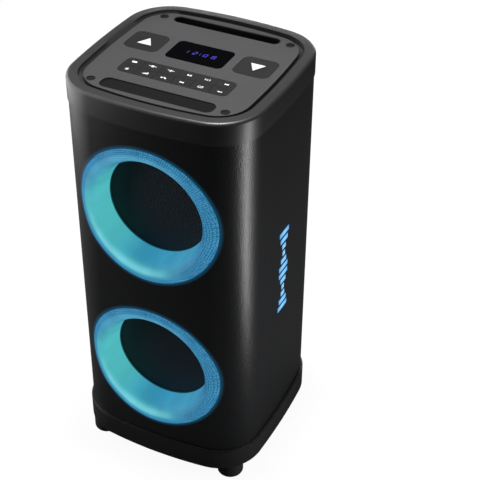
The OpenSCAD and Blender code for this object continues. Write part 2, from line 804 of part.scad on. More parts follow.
// One key of the strip: its outer sides carry a flange under the panel
module small_key(col, row) color([0.16, 0.16, 0.16]) {
  p = key_place(col, row);
  cw = cell_w - key_gap;
  cd = cell_d - key_gap;
  translate([0, 0, panel_z - key_cap_t]) linear_extrude(key_cap_t) intersection() {
    translate([0, -strip_y]) round_rect(strip_w, strip_d, strip_r);
    translate(p) square([cw, cd], center = true);
  }
  left = col == 0 ? key_flange : 0;
  right = col == key_cols - 1 ? key_flange : 0;
  back = row == 0 ? key_flange : 0;
  front = row == key_rows - 1 ? key_flange : 0;
  translate([0, 0, panel_under_z - switch_gap - key_flange_t]) linear_extrude(key_flange_t)
    intersection() {
      translate([0, -strip_y])
        round_rect(strip_w + 2 * key_flange, strip_d + 2 * key_flange, strip_r + key_flange);
      translate(p - [cw / 2 + left, cd / 2 + front]) square([cw + left + right, cd + front + back]);
    }
  translate(p) stem(small_key_travel);
}

module rest_mat() color([0.09, 0.09, 0.09])
  tray_block(tray_w - 2 * fit, tray_d - 2 * fit, panel_z - tray_depth,
    panel_z - tray_depth + mat_t);

module slot_liner() color([0.05, 0.05, 0.05]) difference() {
  inside = 2 * (fit + liner_wall);
  union() {
    slot_block(slot_w - 2 * fit, slot_d - 2 * fit, panel_z - slot_depth - liner_wall,
      panel_z - 2 * fit);
    slot_block(slot_w + 2 * liner_edge, slot_d + 2 * liner_edge, groove_z, groove_z + liner_wall);
  }
  slot_block(slot_w - inside, slot_d - inside, panel_z - slot_depth, panel_z + 1);
}

// Space inside a ring as radius and depth, grown by t: a slight cone, then a rounded mouth
module ring_throat(t) {
  polygon([[0, 0], [disc_d / 2 + t, 0], [disc_d / 2 + t, flange_front], [throat_r + t, mouth_z],
    [0, mouth_z]]);
  difference() {
    translate([0, mouth_z - eps]) square([mouth_c[0], half_d + 6 - mouth_z + eps]);
    translate(mouth_c) circle(r = mouth_r - t, $fn = bow_fn);
  }
}

// Light guide ring: the front follows the bow, and the back is hollow for the lamps
module ring_lens(z) color([0.25, 0.7, 0.8]) difference() {
  union() {
    intersection() {
      slab(ring_raise, z - ring_d / 2 - 1, z + ring_d / 2 + 1);
      to_front_at(z) translate([0, 0, board_front])
        cylinder(r = ring_d / 2 - 3, h = half_d, $fn = arc_fn);
    }
    intersection() {
      slab(ring_raise / 3, z - ring_d / 2 - 1, z + ring_d / 2 + 1);
      to_front_at(z) translate([0, 0, board_front])
        cylinder(r = ring_d / 2, h = half_d, $fn = arc_fn);
    }
  }
  to_front_at(z) rotate_extrude($fn = arc_fn) ring_throat(0);
  intersection() {
    slab(ring_raise / 3 - ring_wall, z - ring_d / 2 - 1, z + ring_d / 2 + 1);
    to_front_at(z) rotate_extrude($fn = arc_fn) difference() {
      square([ring_d / 2 - ring_wall, half_d + 5]);
      ring_throat(ring_wall);
    }
  }
  to_front_at(z) cylinder(r = flange_r + fit, h = flange_front, $fn = arc_fn);
}

module led_ring(z) color([0.85, 0.85, 0.8]) to_front_at(z) {
  translate([0, 0, board_front]) linear_extrude(led_t) difference() {
    circle(r = led_outer, $fn = arc_fn);
    circle(r = led_inner, $fn = arc_fn);
  }
  for (turn = [0:15:345]) rotate(turn)
    translate([(led_inner + led_outer) / 2 - 2.5, -2.5, board_front + led_t - eps])
      cube([5, 5, 1.5]);
}

module woofer_grille(z) color([0.12, 0.13, 0.14]) to_front_at(z)
  translate([0, 0, flange_front]) cylinder(r = disc_d / 2 - 0.4, h = grille_t, $fn = arc_fn);

// Pressed frame of a woofer with open windows between its legs
module basket(z) color([0.25, 0.25, 0.26]) {
  lead_tab(z);
  basket_frame(z);
}

module basket_frame(z) to_front_at(z) difference() {
  rotate_extrude($fn = arc_fn) {
    translate([ledge_r, ledge_z - 2]) square([seat_r - ledge_r, 2]);
    translate([seat_r - basket_wall, ledge_z - 2]) square([basket_wall, flange_front - ledge_z + 2]);
    translate([seat_r - basket_wall, board_front])
      square([flange_r - seat_r + basket_wall, flange_t]);
    polygon([[seat_r, ledge_z - 2], [seat_r - 3, ledge_z - 2], [spider_r, spider_z - 1],
      [spider_r, top_plate_z], [spider_r + 3, top_plate_z], [spider_r + 3, spider_z - 1]]);
    translate([spider_r - 3, spider_z - 3]) square([4, 2]);
    translate([plate_bore_r + 6, top_plate_z]) square([spider_r - plate_bore_r - 4, 2.5]);
  }
  for (turn = [0:60:300]) rotate(turn) translate([spider_r - 1, -14, spider_z + 3])
    cube([40, 28, ledge_z - spider_z - 9]);
  at_woofer_screws() translate([0, 0, -flange_t - 1])
    cylinder(r = woofer_screw_r + 0.3, h = flange_t + 2, $fn = hole_fn);
}

// Solder tab on a basket's back ring, which its lead reaches
module lead_tab(z) to_front_at(z)
  translate([lead_x - tab_w / 2, -tab_w / 2, top_plate_z]) cube([tab_w, tab_w, tab_t]);

// Magnet ring between its two plates, with the pole in the middle
module magnet(z) color([0.2, 0.2, 0.2]) to_front_at(z) rotate_extrude($fn = arc_fn) {
  translate([vent_r, magnet_back]) square([magnet_r - plate_edge - vent_r, plate_t]);
  translate([magnet_bore_r, magnet_back + plate_t - eps])
    square([magnet_r - magnet_bore_r, magnet_h + 2 * eps]);
  translate([plate_bore_r, top_plate_z - plate_t])
    square([magnet_r - plate_edge - plate_bore_r, plate_t]);
  translate([vent_r, magnet_back]) square([pole_r - vent_r, top_plate_z - magnet_back + 2]);
}

// Paper cone with its coil former and dust cap
module cone(z) color([0.13, 0.13, 0.14]) to_front_at(z) rotate_extrude($fn = arc_fn) {
  translate([coil_r, top_plate_z - 8]) square([coil_t, cone_foot_z - top_plate_z + 9]);
  polygon([[coil_r, cone_foot_z], [coil_r + coil_t, cone_foot_z], [cone_r, cone_lip_z - 1.2],
    [cone_r + 2, cone_lip_z - 1.2], [cone_r + 2, cone_lip_z], [cone_r - 1, cone_lip_z],
    [coil_r, cone_foot_z + 1.5]]);
  intersection() {
    difference() {
      translate([0, cone_foot_z - 22]) circle(r = 32, $fn = arc_fn);
      translate([0, cone_foot_z - 22]) circle(r = 31, $fn = arc_fn);
    }
    translate([0, cone_foot_z]) square([21, 20]);
  }
}

// Half roll of rubber between the cone and the frame
module surround(z) color([0.1, 0.1, 0.1]) to_front_at(z) rotate_extrude($fn = arc_fn) {
  mid = (cone_r + 2 + ledge_r) / 2 + 1;
  roll = 4;
  intersection() {
    difference() {
      translate([mid, cone_lip_z]) circle(r = roll, $fn = hole_fn);
      translate([mid, cone_lip_z]) circle(r = roll - 0.8, $fn = hole_fn);
    }
    translate([mid - roll, cone_lip_z]) square([2 * roll, roll]);
  }
  translate([cone_r - 0.5, cone_lip_z]) square([mid - roll + 1 - cone_r, 0.8]);
  translate([mid + roll - 0.8, ledge_z]) square([0.8, cone_lip_z - ledge_z + 0.8]);
  translate([mid + roll - 0.8, ledge_z]) square([seat_r - basket_wall - 0.3 - mid - roll + 0.8, 0.8]);
}

// Pleated disc that centres the coil
module spider(z) color([0.8, 0.65, 0.35]) to_front_at(z) rotate_extrude($fn = arc_fn) {
  inner = coil_r + coil_t + 0.1;
  outer = spider_r - 0.3;
  pleats = 5;
  step = (outer - inner) / pleats;
  for (i = [0:pleats - 1])
    translate([inner + i * step, spider_z - 1]) {
      square([step, 0.6]);
      translate([step * 0.25, 0]) square([step / 2, 1.2]);
    }
}

// Bars of the side light, grown by g and reaching depth into the wall
module side_bars(g, depth) {
  intersection() {
    wall(5, -depth, side_light_z - side_light_h / 2, side_light_z + side_light_h / 2);
    for (i = [0:bar_count - 1])
      translate([half_w - 20, -side_light_set - bar_size(i) / 2 - g,
        side_light_z + (i - (bar_count - 1) / 2) * bar_pitch - bar_h / 2 - g])
        cube([30, bar_size(i) + 2 * g, bar_h + 2 * g]);
  }
}

module side_light_lens() color([0.5, 0.75, 0.95]) {
  inner = -shell_wall - fit;
  intersection() {
    side_bars(0, shell_wall + fit + lens_back_t / 2);
    slab(bar_proud, 0, body_h);
  }
  intersection() {
    wall(inner, inner - lens_back_t, side_light_z - side_light_h / 2 - lens_edge,
      side_light_z + side_light_h / 2 + lens_edge);
    translate([half_w - 30, -side_light_set - bar_len / 2 - lens_edge, 0])
      cube([30, bar_len + 2 * lens_edge, body_h]);
  }
}

module side_light_board() color([0.9, 0.9, 0.85]) {
  x1 = half_w - shell_wall - 2 * fit - lens_back_t - side_board_gap;
  translate([x1 - side_board_t, -side_light_set - bar_len / 2, side_light_z - side_light_h / 2])
    cube([side_board_t, bar_len, side_light_h]);
}

// Round socket with a bezel on the panel and a body behind it
module socket(x, z, bezel_r, barrel_r, bore, depth, body) {
  to_back_at(x, panel_face_y, z) difference() {
    union() {
      cylinder(r = bezel_r, h = bezel_t, $fn = hole_fn);
      translate([0, 0, -back_panel_t - 1]) cylinder(r = barrel_r, h = back_panel_t + 2, $fn = hole_fn);
      translate([-body / 2, -body / 2, -back_panel_t - amp_gap])
        cube([body, body, amp_gap - 0.5]);
    }
    translate([0, 0, bezel_t - depth]) cylinder(r = bore, h = depth + 1, $fn = hole_fn);
  }
}

module input_sockets() color([0.15, 0.15, 0.16]) for (x = socket_x) {
  socket(x, control_row_z, mic_bezel_r, mic_barrel_r, mic_bore_r, mic_len, mic_body_w);
  socket(x, line_row_z, line_bezel_r, line_barrel_r, line_bore_r, line_len, line_body_w);
}

module rocker_well(w, r, y0) {
  translate([-w / 2, y0, rocker_z - r]) cube([w, panel_face_y + bezel_t + 1 - y0, 2 * r]);
}

// Mains inlet and the housing of the rocker in one moulding
module power_inlet() color([0.1, 0.1, 0.1]) {
  difference() {
    union() {
      translate([-inlet_w / 2, panel_face_y, inlet_z - inlet_h / 2]) cube([inlet_w, bezel_t, inlet_h]);
      translate([-inlet_w / 2 + 2, panel_face_y - inlet_body_d, inlet_z - inlet_h / 2 + 2])
        cube([inlet_w - 4, inlet_body_d + eps, inlet_h - 4]);
    }
    rocker_well(rocker_w + 2 * rocker_gap, rocker_r + rocker_gap, panel_face_y - 10);
    to_back_at(0, panel_face_y + bezel_t - plug_hole_d, plug_hole_z)
      linear_extrude(plug_hole_d + 1) round_rect(plug_hole_w, plug_hole_h, plug_hole_h / 2 - eps);
  }
  for (side = [-1, 1]) to_back_at(side * pin_x, panel_face_y + bezel_t - plug_hole_d - 1, plug_hole_z)
    cylinder(r = pin_r, h = plug_hole_d - 1, $fn = hole_fn);
  for (side = [-1, 1]) translate([side * (rocker_w / 2 + rocker_gap), panel_face_y, rocker_z])
    rotate([0, -side * 90, 0]) translate([0, 0, -eps])
      cylinder(r = rocker_pin_r, h = rocker_gap + rocker_pin_len - 0.2, $fn = hole_fn);
}

// Rocker at rest in its off position, tilted about its pins
module power_rocker() color([0.5, 0.08, 0.06]) translate([-rocker_w / 2, panel_face_y, rocker_z])
  rotate([rocker_tilt, 0, 0]) rotate([90, 0, 90]) difference() {
    linear_extrude(rocker_w) intersection() {
      circle(r = rocker_r, $fn = arc_fn);
      polygon([[-5, -12], [5.2, -12], [3.2, 0], [5.2, 12], [-5, 12]]);
    }
    for (z = [-1, rocker_w - rocker_pin_len]) translate([0, 0, z])
      cylinder(r = rocker_pin_r + shaft_fit, h = rocker_pin_len + 1, $fn = hole_fn);
  }

module knob(x) color([0.1, 0.1, 0.1]) to_back_at(x, panel_face_y + knob_gap, control_row_z) {
  difference() {
    cylinder(r = knob_r, h = knob_h, $fn = arc_fn);
    for (turn = [0:20:340]) rotate(turn) translate([knob_r + 0.5, 0, 2])
      cylinder(r = 1, h = knob_h, $fn = 24);
    translate([-0.6, 0, knob_h - 0.8]) cube([1.2, knob_r + 1, 2]);
  }
  translate([0, 0, -knob_gap - back_panel_t - 14]) cylinder(r = knob_shaft_r, h = knob_gap
    + back_panel_t + 15, $fn = hole_fn);
}

module port_tube() color([0.08, 0.08, 0.08]) difference() {
  union() {
    difference() {
      to_back_at(0, half_d - 20, port_z)
        cylinder(r = port_r + port_wall + port_flange, h = 20 + flange_proud, $fn = arc_fn);
      slab(0, port_z - 2 * port_r, port_z + 2 * port_r);
    }
    to_back_at(0, half_d + flange_proud - port_len, port_z)
      cylinder(r = port_r + port_wall, h = port_len, $fn = arc_fn);
  }
  to_back_at(0, half_d - port_len, port_z)
    cylinder(r = port_r, h = port_len + 2 * flange_proud, $fn = arc_fn);
}

module grip_cup() color([0.1, 0.1, 0.1]) difference() {
  union() {
    difference() {
      to_back_at(0, half_d - 20, grip_z) linear_extrude(20 + flange_proud)
        round_rect(grip_w + 2 * grip_flange, grip_h + 2 * grip_flange, grip_r + grip_flange);
      slab(0, grip_z - grip_h, grip_z + grip_h);
    }
    to_back_at(0, half_d - grip_depth - grip_wall, grip_z) linear_extrude(grip_depth + grip_wall
      + flange_proud) round_rect(grip_w, grip_h, grip_r);
  }
  to_back_at(0, half_d - grip_depth, grip_z) linear_extrude(grip_depth + 10)
    round_rect(grip_w - 2 * grip_wall, grip_h - 2 * grip_wall, grip_r - grip_wall);
}

// Amplifier board on the back panel's posts, with the two volume controls
module amp_board() color([0.1, 0.35, 0.2]) {
  translate([-amp_w / 2, amp_y - board_t, amp_z - amp_h / 2]) cube([amp_w, board_t, amp_h]);
  for (x = knob_x) to_back_at(x, amp_y - eps, control_row_z) difference() {
    union() {
      translate([-pot_w / 2, -pot_w / 2, 0]) cube([pot_w, pot_w, amp_gap - 8]);
      cylinder(r = bushing_r, h = amp_gap + back_panel_t - 0.5, $fn = hole_fn);
    }
    translate([0, 0, 4]) cylinder(r = knob_shaft_r + shaft_fit, h = 40, $fn = hole_fn);
  }
  for (i = [0:3]) to_back_at((i - 3) * can_pitch, amp_y - eps, amp_z - amp_h / 2 + can_pitch)
    cylinder(r = can_r, h = can_h, $fn = hole_fn);
}

module heat_sink() color([0.75, 0.76, 0.78]) {
  y = amp_y - board_t - sink_base;
  w = fin_count * fin_pitch;
  translate([-w / 2, y, amp_z - sink_h / 2]) cube([w, sink_base, sink_h]);
  for (i = [0:fin_count - 1])
    translate([(i + 0.5) * fin_pitch - w / 2 - fin_t / 2, y - fin_len, amp_z - sink_h / 2])
      cube([fin_t, fin_len + eps, sink_h]);
}

module power_board() color([0.12, 0.3, 0.22]) translate([0, power_y, plinth_floor_z + power_stand]) {
  translate([-power_w / 2, -power_d / 2, 0]) cube([power_w, power_d, board_t]);
  translate([-power_w / 3 - transformer[0] / 2, -transformer[1] / 2, board_t - eps]) cube(transformer);
  for (i = [0:2]) translate([power_w / 12 + i * big_can_pitch, -power_d / 4, board_t - eps])
    cylinder(r = big_can_r, h = big_can_h, $fn = hole_fn);
  translate([0, 0, board_t - eps]) cube(bridge);
}

// Lead clipped between the amplifier board and a basket's tab, as straight runs
module speaker_lead(z_start, z_end) {
  run = [[lead_x, amp_y - board_t, z_start], [lead_x, lead_bend_y, z_start],
    [lead_x, lead_bend_y, z_end], [lead_x, -top_plate_z, z_end]];
  to_back_at(run[1][0], run[1][1], run[1][2])
    cylinder(r = lead_r, h = run[0][1] - run[1][1], $fn = hole_fn);
  translate([lead_x, lead_bend_y, min(z_start, z_end)])
    cylinder(r = lead_r, h = abs(z_end - z_start), $fn = hole_fn);
  to_front_at(z_end) translate([lead_x, 0, -lead_bend_y])
    cylinder(r = lead_r, h = lead_bend_y + top_plate_z, $fn = hole_fn);
  for (i = [1, 2]) translate(run[i]) sphere(r = lead_r + 0.2, $fn = hole_fn);
}

module speaker_leads() color([0.6, 0.1, 0.1]) {
  speaker_lead(amp_z - 18, upper_ring_z);
  speaker_lead(amp_z - 44, lower_ring_z);
}

cabinet_wall(-out_x, out_x, -out_y, -seam_y);  // front_wall
cabinet_wall(-out_x, out_x, seam_y, out_y);  // rear_wall
cabinet_wall(-out_x, 0, -seam_y, seam_y);  // left_wall
cabinet_wall(0, out_x, -seam_y, seam_y);  // right_wall
top_cap();
top_panel();
base_plinth();
foot(-foot_c[0], -foot_c[1]);  // front_left_foot
foot(foot_c[0], -foot_c[1]);  // front_right_foot
foot(-foot_c[0], foot_c[1]);  // rear_left_foot
foot(foot_c[0], foot_c[1]);  // rear_right_foot
baffle_board();
rear_panel();
case_screws();
woofer_screws();
screw_plugs();
display_window();
control_board();
big_key(-1, 0);  // up_key
big_key(1, 180);  // down_key
small_key(0, 0);  // mode_key
small_key(1, 0);  // record_key
small_key(2, 0);  // voice_key
small_key(3, 0);  // play_key
small_key(4, 0);  // preset_key
small_key(5, 0);  // next_key
small_key(0, 1);  // light_key
small_key(1, 1);  // bass_key
small_key(2, 1);  // effect_key
small_key(3, 1);  // previous_key
small_key(4, 1);  // repeat_key
small_key(5, 1);  // mute_key
rest_mat();
slot_liner();
ring_lens(upper_ring_z);  // upper_ring_lens
ring_lens(lower_ring_z);  // lower_ring_lens
led_ring(upper_ring_z);  // upper_led_ring
led_ring(lower_ring_z);  // lower_led_ring
woofer_grille(upper_ring_z);  // upper_grille
woofer_grille(lower_ring_z);  // lower_grille
basket(upper_ring_z);  // upper_basket
basket(lower_ring_z);  // lower_basket
magnet(upper_ring_z);  // upper_magnet
magnet(lower_ring_z);  // lower_magnet
cone(upper_ring_z);  // upper_cone
cone(lower_ring_z);  // lower_cone
surround(upper_ring_z);  // upper_surround
surround(lower_ring_z);  // lower_surround
spider(upper_ring_z);  // upper_spider
spider(lower_ring_z);  // lower_spider
side_light_lens();
side_light_board();
input_sockets();
power_inlet();
power_rocker();
knob(knob_x[0]);  // mic_volume_knob
knob(knob_x[1]);  // echo_knob
port_tube();
grip_cup();
amp_board();
heat_sink();
power_board();
speaker_leads();
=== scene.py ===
"""Looks of a karaoke tower speaker with two lit woofer rings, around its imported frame."""

import math

import bpy
from bpy.props import FloatProperty, FloatVectorProperty, PointerProperty
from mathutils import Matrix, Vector


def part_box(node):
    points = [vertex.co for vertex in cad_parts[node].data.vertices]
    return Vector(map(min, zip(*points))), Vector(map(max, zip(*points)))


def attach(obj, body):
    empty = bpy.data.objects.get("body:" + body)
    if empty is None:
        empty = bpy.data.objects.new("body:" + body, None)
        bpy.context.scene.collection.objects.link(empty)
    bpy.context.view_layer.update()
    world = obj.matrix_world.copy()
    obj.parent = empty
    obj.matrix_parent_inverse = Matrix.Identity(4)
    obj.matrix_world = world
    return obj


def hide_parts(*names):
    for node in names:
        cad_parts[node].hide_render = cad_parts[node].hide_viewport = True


bl_info = {
    "name": "Karaoke tower looks",
    "version": (1, 0, 0),
    "blender": (4, 5, 0),
    "location": "3D View > Sidebar > Tower",
    "description": "Finishes, key symbols, lit rings and studio for a karaoke tower speaker",
    "category": "Object",
}

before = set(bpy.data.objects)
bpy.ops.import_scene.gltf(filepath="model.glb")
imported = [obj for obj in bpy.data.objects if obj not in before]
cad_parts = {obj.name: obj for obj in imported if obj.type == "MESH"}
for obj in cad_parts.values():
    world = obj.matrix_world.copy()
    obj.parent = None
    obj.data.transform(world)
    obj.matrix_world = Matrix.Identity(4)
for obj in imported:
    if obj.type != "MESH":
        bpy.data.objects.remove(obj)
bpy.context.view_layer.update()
MM = 0.001


# Places read from the frame

def middle(node):
    """Middle of a node's box at rest."""
    low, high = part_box(node)
    return (Vector(low) + Vector(high)) / 2


PANEL_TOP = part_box("display_window")[1][2]
RING_Z = {"upper": middle("upper_ring_lens").z, "lower": middle("lower_ring_lens").z}
RING_R = (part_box("upper_ring_lens")[1][0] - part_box("upper_ring_lens")[0][0]) / 2
SIDE_LIGHT_Y = middle("side_light_lens").y
# Front face of the grilles, where a ring's throat ends
GRILLE_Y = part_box("upper_grille")[0][1]

# Sizes of the looks, in metres where nothing else is said

# Radius of the cap's outer upper edge
CAP_EDGE = 0.0045
# A ring's throat blends into its band, and the band into its rim, at these distances from the middle
THROAT_TO_BAND = (0.0765, 0.0860)
BAND_TO_RIM = (0.0905, 0.0950)
# The painted highlight along the mouth's ridge rises and falls over these distances from the middle
RIDGE_HIGHLIGHT_RISE = (0.0800, 0.0865)
RIDGE_HIGHLIGHT_FALL = (0.0875, 0.0915)
# Radius at which the sheet of dots is laid round a ring
DOT_SHEET_R = 0.082
# Painted shade: the throat darkens between these two distances in front of the grille
THROAT_SHADE = (0.0030, 0.0012)
# Step of the grilles' holes, drawn coarser than the real ones
HOLE_STEP = 2.2 * MM
# The rings' painted light falls on nothing behind this plane, and this strongly in front of it
GLOW_BACK_Y = -0.09
GLOW_LEVEL = 0.7
# Light of the side bars falls off between these distances from their middle line
BAR_CORE = (0.002, 0.015)
# Ink of an arrow: lower corner and size, a little past the raised arrowhead, in millimetres
ARROW_LOW = Vector((-10.5, -8.3))
ARROW_SIZE = Vector((21.0, 18.0))
# Thickness of the inks, and the width of the bevel round an arrow
ARROW_INK = 0.3 * MM
ARROW_CHAMFER = 0.12 * MM
SYMBOL_INK = 0.12 * MM
DIGIT_INK = 0.06 * MM
# Digits, in millimetres: the first one's place, the step to the next, the colon's room and the
# height of its dots, the width of a digit and half its height, its stroke, and the gap that
# shortens and thins each bar
DIGIT_START = -19.5
DIGIT_STEP = 12
COLON_ROOM = 3
COLON_HEIGHT = 1.5
DIGIT_W, DIGIT_H, DIGIT_STROKE = 4.4, 3.4, 0.7
DIGIT_GAP = 0.3
# Sideways lean of a digit for each millimetre of its height
DIGIT_LEAN = 0.12
# Floor: side, the light that its white adds, and how much lamp light it returns
FLOOR_SIDE = 30
FLOOR_WHITE = 0.94
FLOOR_DULL = 0.05
# Lamps: name, place, target, width and height, and power in watts
LAMPS = (
    ("top_box", (0.03, 0.02, 2.2), (0.03, 0.02, 0.6), (0.25, 0.25), 58),
    ("left_strip", (-0.82, -0.15, 0.68), (0, 0, 0.52), (1.3, 1.22), 15.6),
    ("right_strip", (0.50, -0.08, 0.27), (0.12, -0.10, 0.26), (0.07, 0.52), 1.95),
    ("rear_fill", (-0.45, 1.5, 0.42), (0, 0.14, 0.32), (0.9, 0.7), 16),
)
# Camera: its place, what it looks at, its lens in millimetres, and its turn about its own line of
# sight in degrees
CAMERA_PLACE = (0.6606, -1.2327, 1.3567)
CAMERA_AIM = (0.0557, 0.0268, 0.3184)
CAMERA_LENS = 92.4
CAMERA_ROLL = 0.45


# Small helpers

def linear(colour):
    """Turns an sRGB hex colour into linear red, green, blue and alpha."""
    parts = [int(colour[i:i + 2], 16) / 255 for i in (1, 3, 5)]
    return tuple(c / 12.92 if c <= 0.04045 else ((c + 0.055) / 1.055) ** 2.4 for c in parts) + (1.0,)


def rgba(colour):
    """Adds alpha to a colour property, which is linear already."""
    return tuple(colour) + (1.0,)


def add_node(tree, kind, links=None, **settings):
    """Adds a node, sets its own settings, and links or sets the inputs that are named."""
    made = tree.nodes.new(kind)
    for key, value in settings.items():
        setattr(made, key, value)
    for socket, value in (links or {}).items():
        if isinstance(value, bpy.types.NodeSocket):
            tree.links.new(value, made.inputs[socket])
        else:
            made.inputs[socket].default_value = value
    return made


def new_material(name, **sockets):
    """Starts a node material and returns it with its tree, its shader and object coordinates."""
    material = bpy.data.materials.new(name)
    material.use_nodes = True
    tree = material.node_tree
    tree.nodes.clear()
    shader = add_node(tree, "ShaderNodeBsdfPrincipled", sockets)
    add_node(tree, "ShaderNodeOutputMaterial", {"Surface": shader.outputs[0]})
    place = add_node(tree, "ShaderNodeTexCoord").outputs["Object"]
    return material, tree, shader, place


def dress(material, *nodes):
    """Gives CAD nodes a material in place of the one they came with."""
    for name in nodes:
        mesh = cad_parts[name].data
        mesh.materials.clear()
        mesh.materials.append(material)


def moulded(name, colour, roughness, grain_mm, depth_mm, tint=0.12, **sockets):
    """Moulded plastic or rubber: a fine even grain with a slightly uneven colour and gloss."""
    material, tree, shader, place = new_material(name, Roughness=roughness, **sockets)
    fine = add_node(tree, "ShaderNodeTexNoise", {"Vector": place, "Scale": 1 / (grain_mm * MM),
                                                "Detail": 3.0, "Roughness": 0.6})
    broad = add_node(tree, "ShaderNodeTexNoise", {"Vector": place, "Scale": 14.0, "Detail": 2.0})
    base = linear(colour)
    ramp = add_node(tree, "ShaderNodeValToRGB", {"Fac": broad.outputs[0]})
    ramp.color_ramp.elements[0].position = 0.35
    ramp.color_ramp.elements[0].color = [c * (1 - tint) for c in base[:3]] + [1]
    ramp.color_ramp.elements[1].position = 0.65
    ramp.color_ramp.elements[1].color = [c * (1 + tint) for c in base[:3]] + [1]
    tree.links.new(ramp.outputs[0], shader.inputs["Base Color"])
    rough = add_node(tree, "ShaderNodeMapRange", {"Value": fine.outputs[0], "To Min": roughness - 0.06,
                                                 "To Max": roughness + 0.06})
    tree.links.new(rough.outputs[0], shader.inputs["Roughness"])
    bump = add_node(tree, "ShaderNodeBump", {"Height": fine.outputs[0], "Strength": 0.6,
                                            "Distance": depth_mm * MM})
    tree.links.new(bump.outputs[0], shader.inputs["Normal"])
    return material


def deselect():
    bpy.ops.object.select_all(action="DESELECT")


def pick(part):
    """Makes a part the only one selected, and the active one."""
    deselect()
    part.select_set(True)
    bpy.context.view_layer.objects.active = part


def finish_piece(parts, name, material, body):
    """Joins parts into one named piece at the origin, gives it its finish, and lets it ride."""
    deselect()
    for part in parts:
        part.select_set(True)
    bpy.context.view_layer.objects.active = parts[0]
    if len(parts) > 1:
        bpy.ops.object.join()
    piece = bpy.context.view_layer.objects.active
    bpy.ops.object.transform_apply(location=True, rotation=True, scale=True)
    piece.name = name
    piece.data.name = name
    piece.data.materials.clear()
    piece.data.materials.append(material)
    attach(piece, body)
    return piece


def chamfer(part, width):
    """Rounds a part's edges with an applied bevel."""
    bevel = part.modifiers.new("edge", "BEVEL")
    bevel.width = width
    bevel.segments = 2
    bevel.limit_method = "ANGLE"
    pick(part)
    bpy.ops.object.modifier_apply(modifier=bevel.name)


def bar(x, y, z, w, d, h, turn=0.0):
    """Flat bar with its underside at z."""
    deselect()
    bpy.ops.mesh.primitive_cube_add(size=1, location=(x, y, z + h / 2), rotation=(0, 0, turn))
    part = bpy.context.object
    part.scale = (w, d, h)
    bpy.ops.object.transform_apply(location=False, rotation=False, scale=True)
    return part


def disc(x, y, z, r, h, sides=24, turn=0.0):
    """Flat disc or polygon with its underside at z."""
    deselect()
    bpy.ops.mesh.primitive_cylinder_add(vertices=sides, radius=r, depth=h, location=(x, y, z + h / 2),
                                        rotation=(0, 0, turn))
    return bpy.context.object


def hoop(x, y, z, r, width, h):
    """Flat hoop with its underside at z, made from a disc by inset and a hole."""
    part = disc(x, y, z, r, h)
    hole = disc(x, y, z - h, r - width, 3 * h)
    cut = part.modifiers.new("hole", "BOOLEAN")
    cut.object = hole
    cut.operation = "DIFFERENCE"
    cut.solver = "EXACT"
    pick(part)
    bpy.ops.object.modifier_apply(modifier=cut.name)
    bpy.data.objects.remove(hole)
    return part


# Settings that a user would change

class CabinetLooks(bpy.types.PropertyGroup):
    """Colours of the cabinet and its fine grained skin."""
    skin: FloatVectorProperty(name="Skin", description="Colour of the cabinet's skin", subtype="COLOR",
                              default=linear("#111214")[:3], min=0, max=1)
    grain: FloatProperty(name="Grain", description="Size of the skin's grain", default=1.6 * MM,
                         unit="LENGTH", min=0.5 * MM, max=5 * MM, precision=4)
    # The halo is painted light from the rings, laid on the skin as emission
    halo: FloatProperty(name="Halo", description="Width of the glow round a ring", default=0.007,
                        unit="LENGTH", min=0.002, max=0.06)


class RingLooks(bpy.types.PropertyGroup):
    """Colours of the lit rings; their bright side is painted light, brighter and teal where the throat
    faces the viewer.
    """
    deep: FloatVectorProperty(name="Deep blue", description="Colour inside the mouth on the dim side",
                              subtype="COLOR", default=linear("#145a92")[:3], min=0, max=1)
    teal: FloatVectorProperty(name="Teal", description="Colour of the throat on the bright side",
                              subtype="COLOR", default=linear("#4cb6ba")[:3], min=0, max=1)
    band: FloatVectorProperty(name="Band", description="Colour of the outer band on the dim side",
                              subtype="COLOR", default=linear("#20709c")[:3], min=0, max=1)
    edge: FloatVectorProperty(name="Edge", description="Colour of the outer band on the bright side",
                              subtype="COLOR", default=linear("#3484b4")[:3], min=0, max=1)
    dot: FloatProperty(name="Dot spacing", description="Distance between the diffuser's dots",
                       default=2.6 * MM, unit="LENGTH", min=1 * MM, max=8 * MM, precision=4)


class PanelLooks(bpy.types.PropertyGroup):
    """Colour of the display."""
    digits: FloatVectorProperty(name="Digits", description="Colour of the lit digits", subtype="COLOR",
                                default=linear("#4a40b4")[:3], min=0, max=1)


class StudioLooks(bpy.types.PropertyGroup):
    """Level of the lamps."""
    ambient: FloatProperty(name="Ambient", description="Level of the light from all round", default=0.07,
                           min=0, max=2)


# The operators, one for each group of pieces

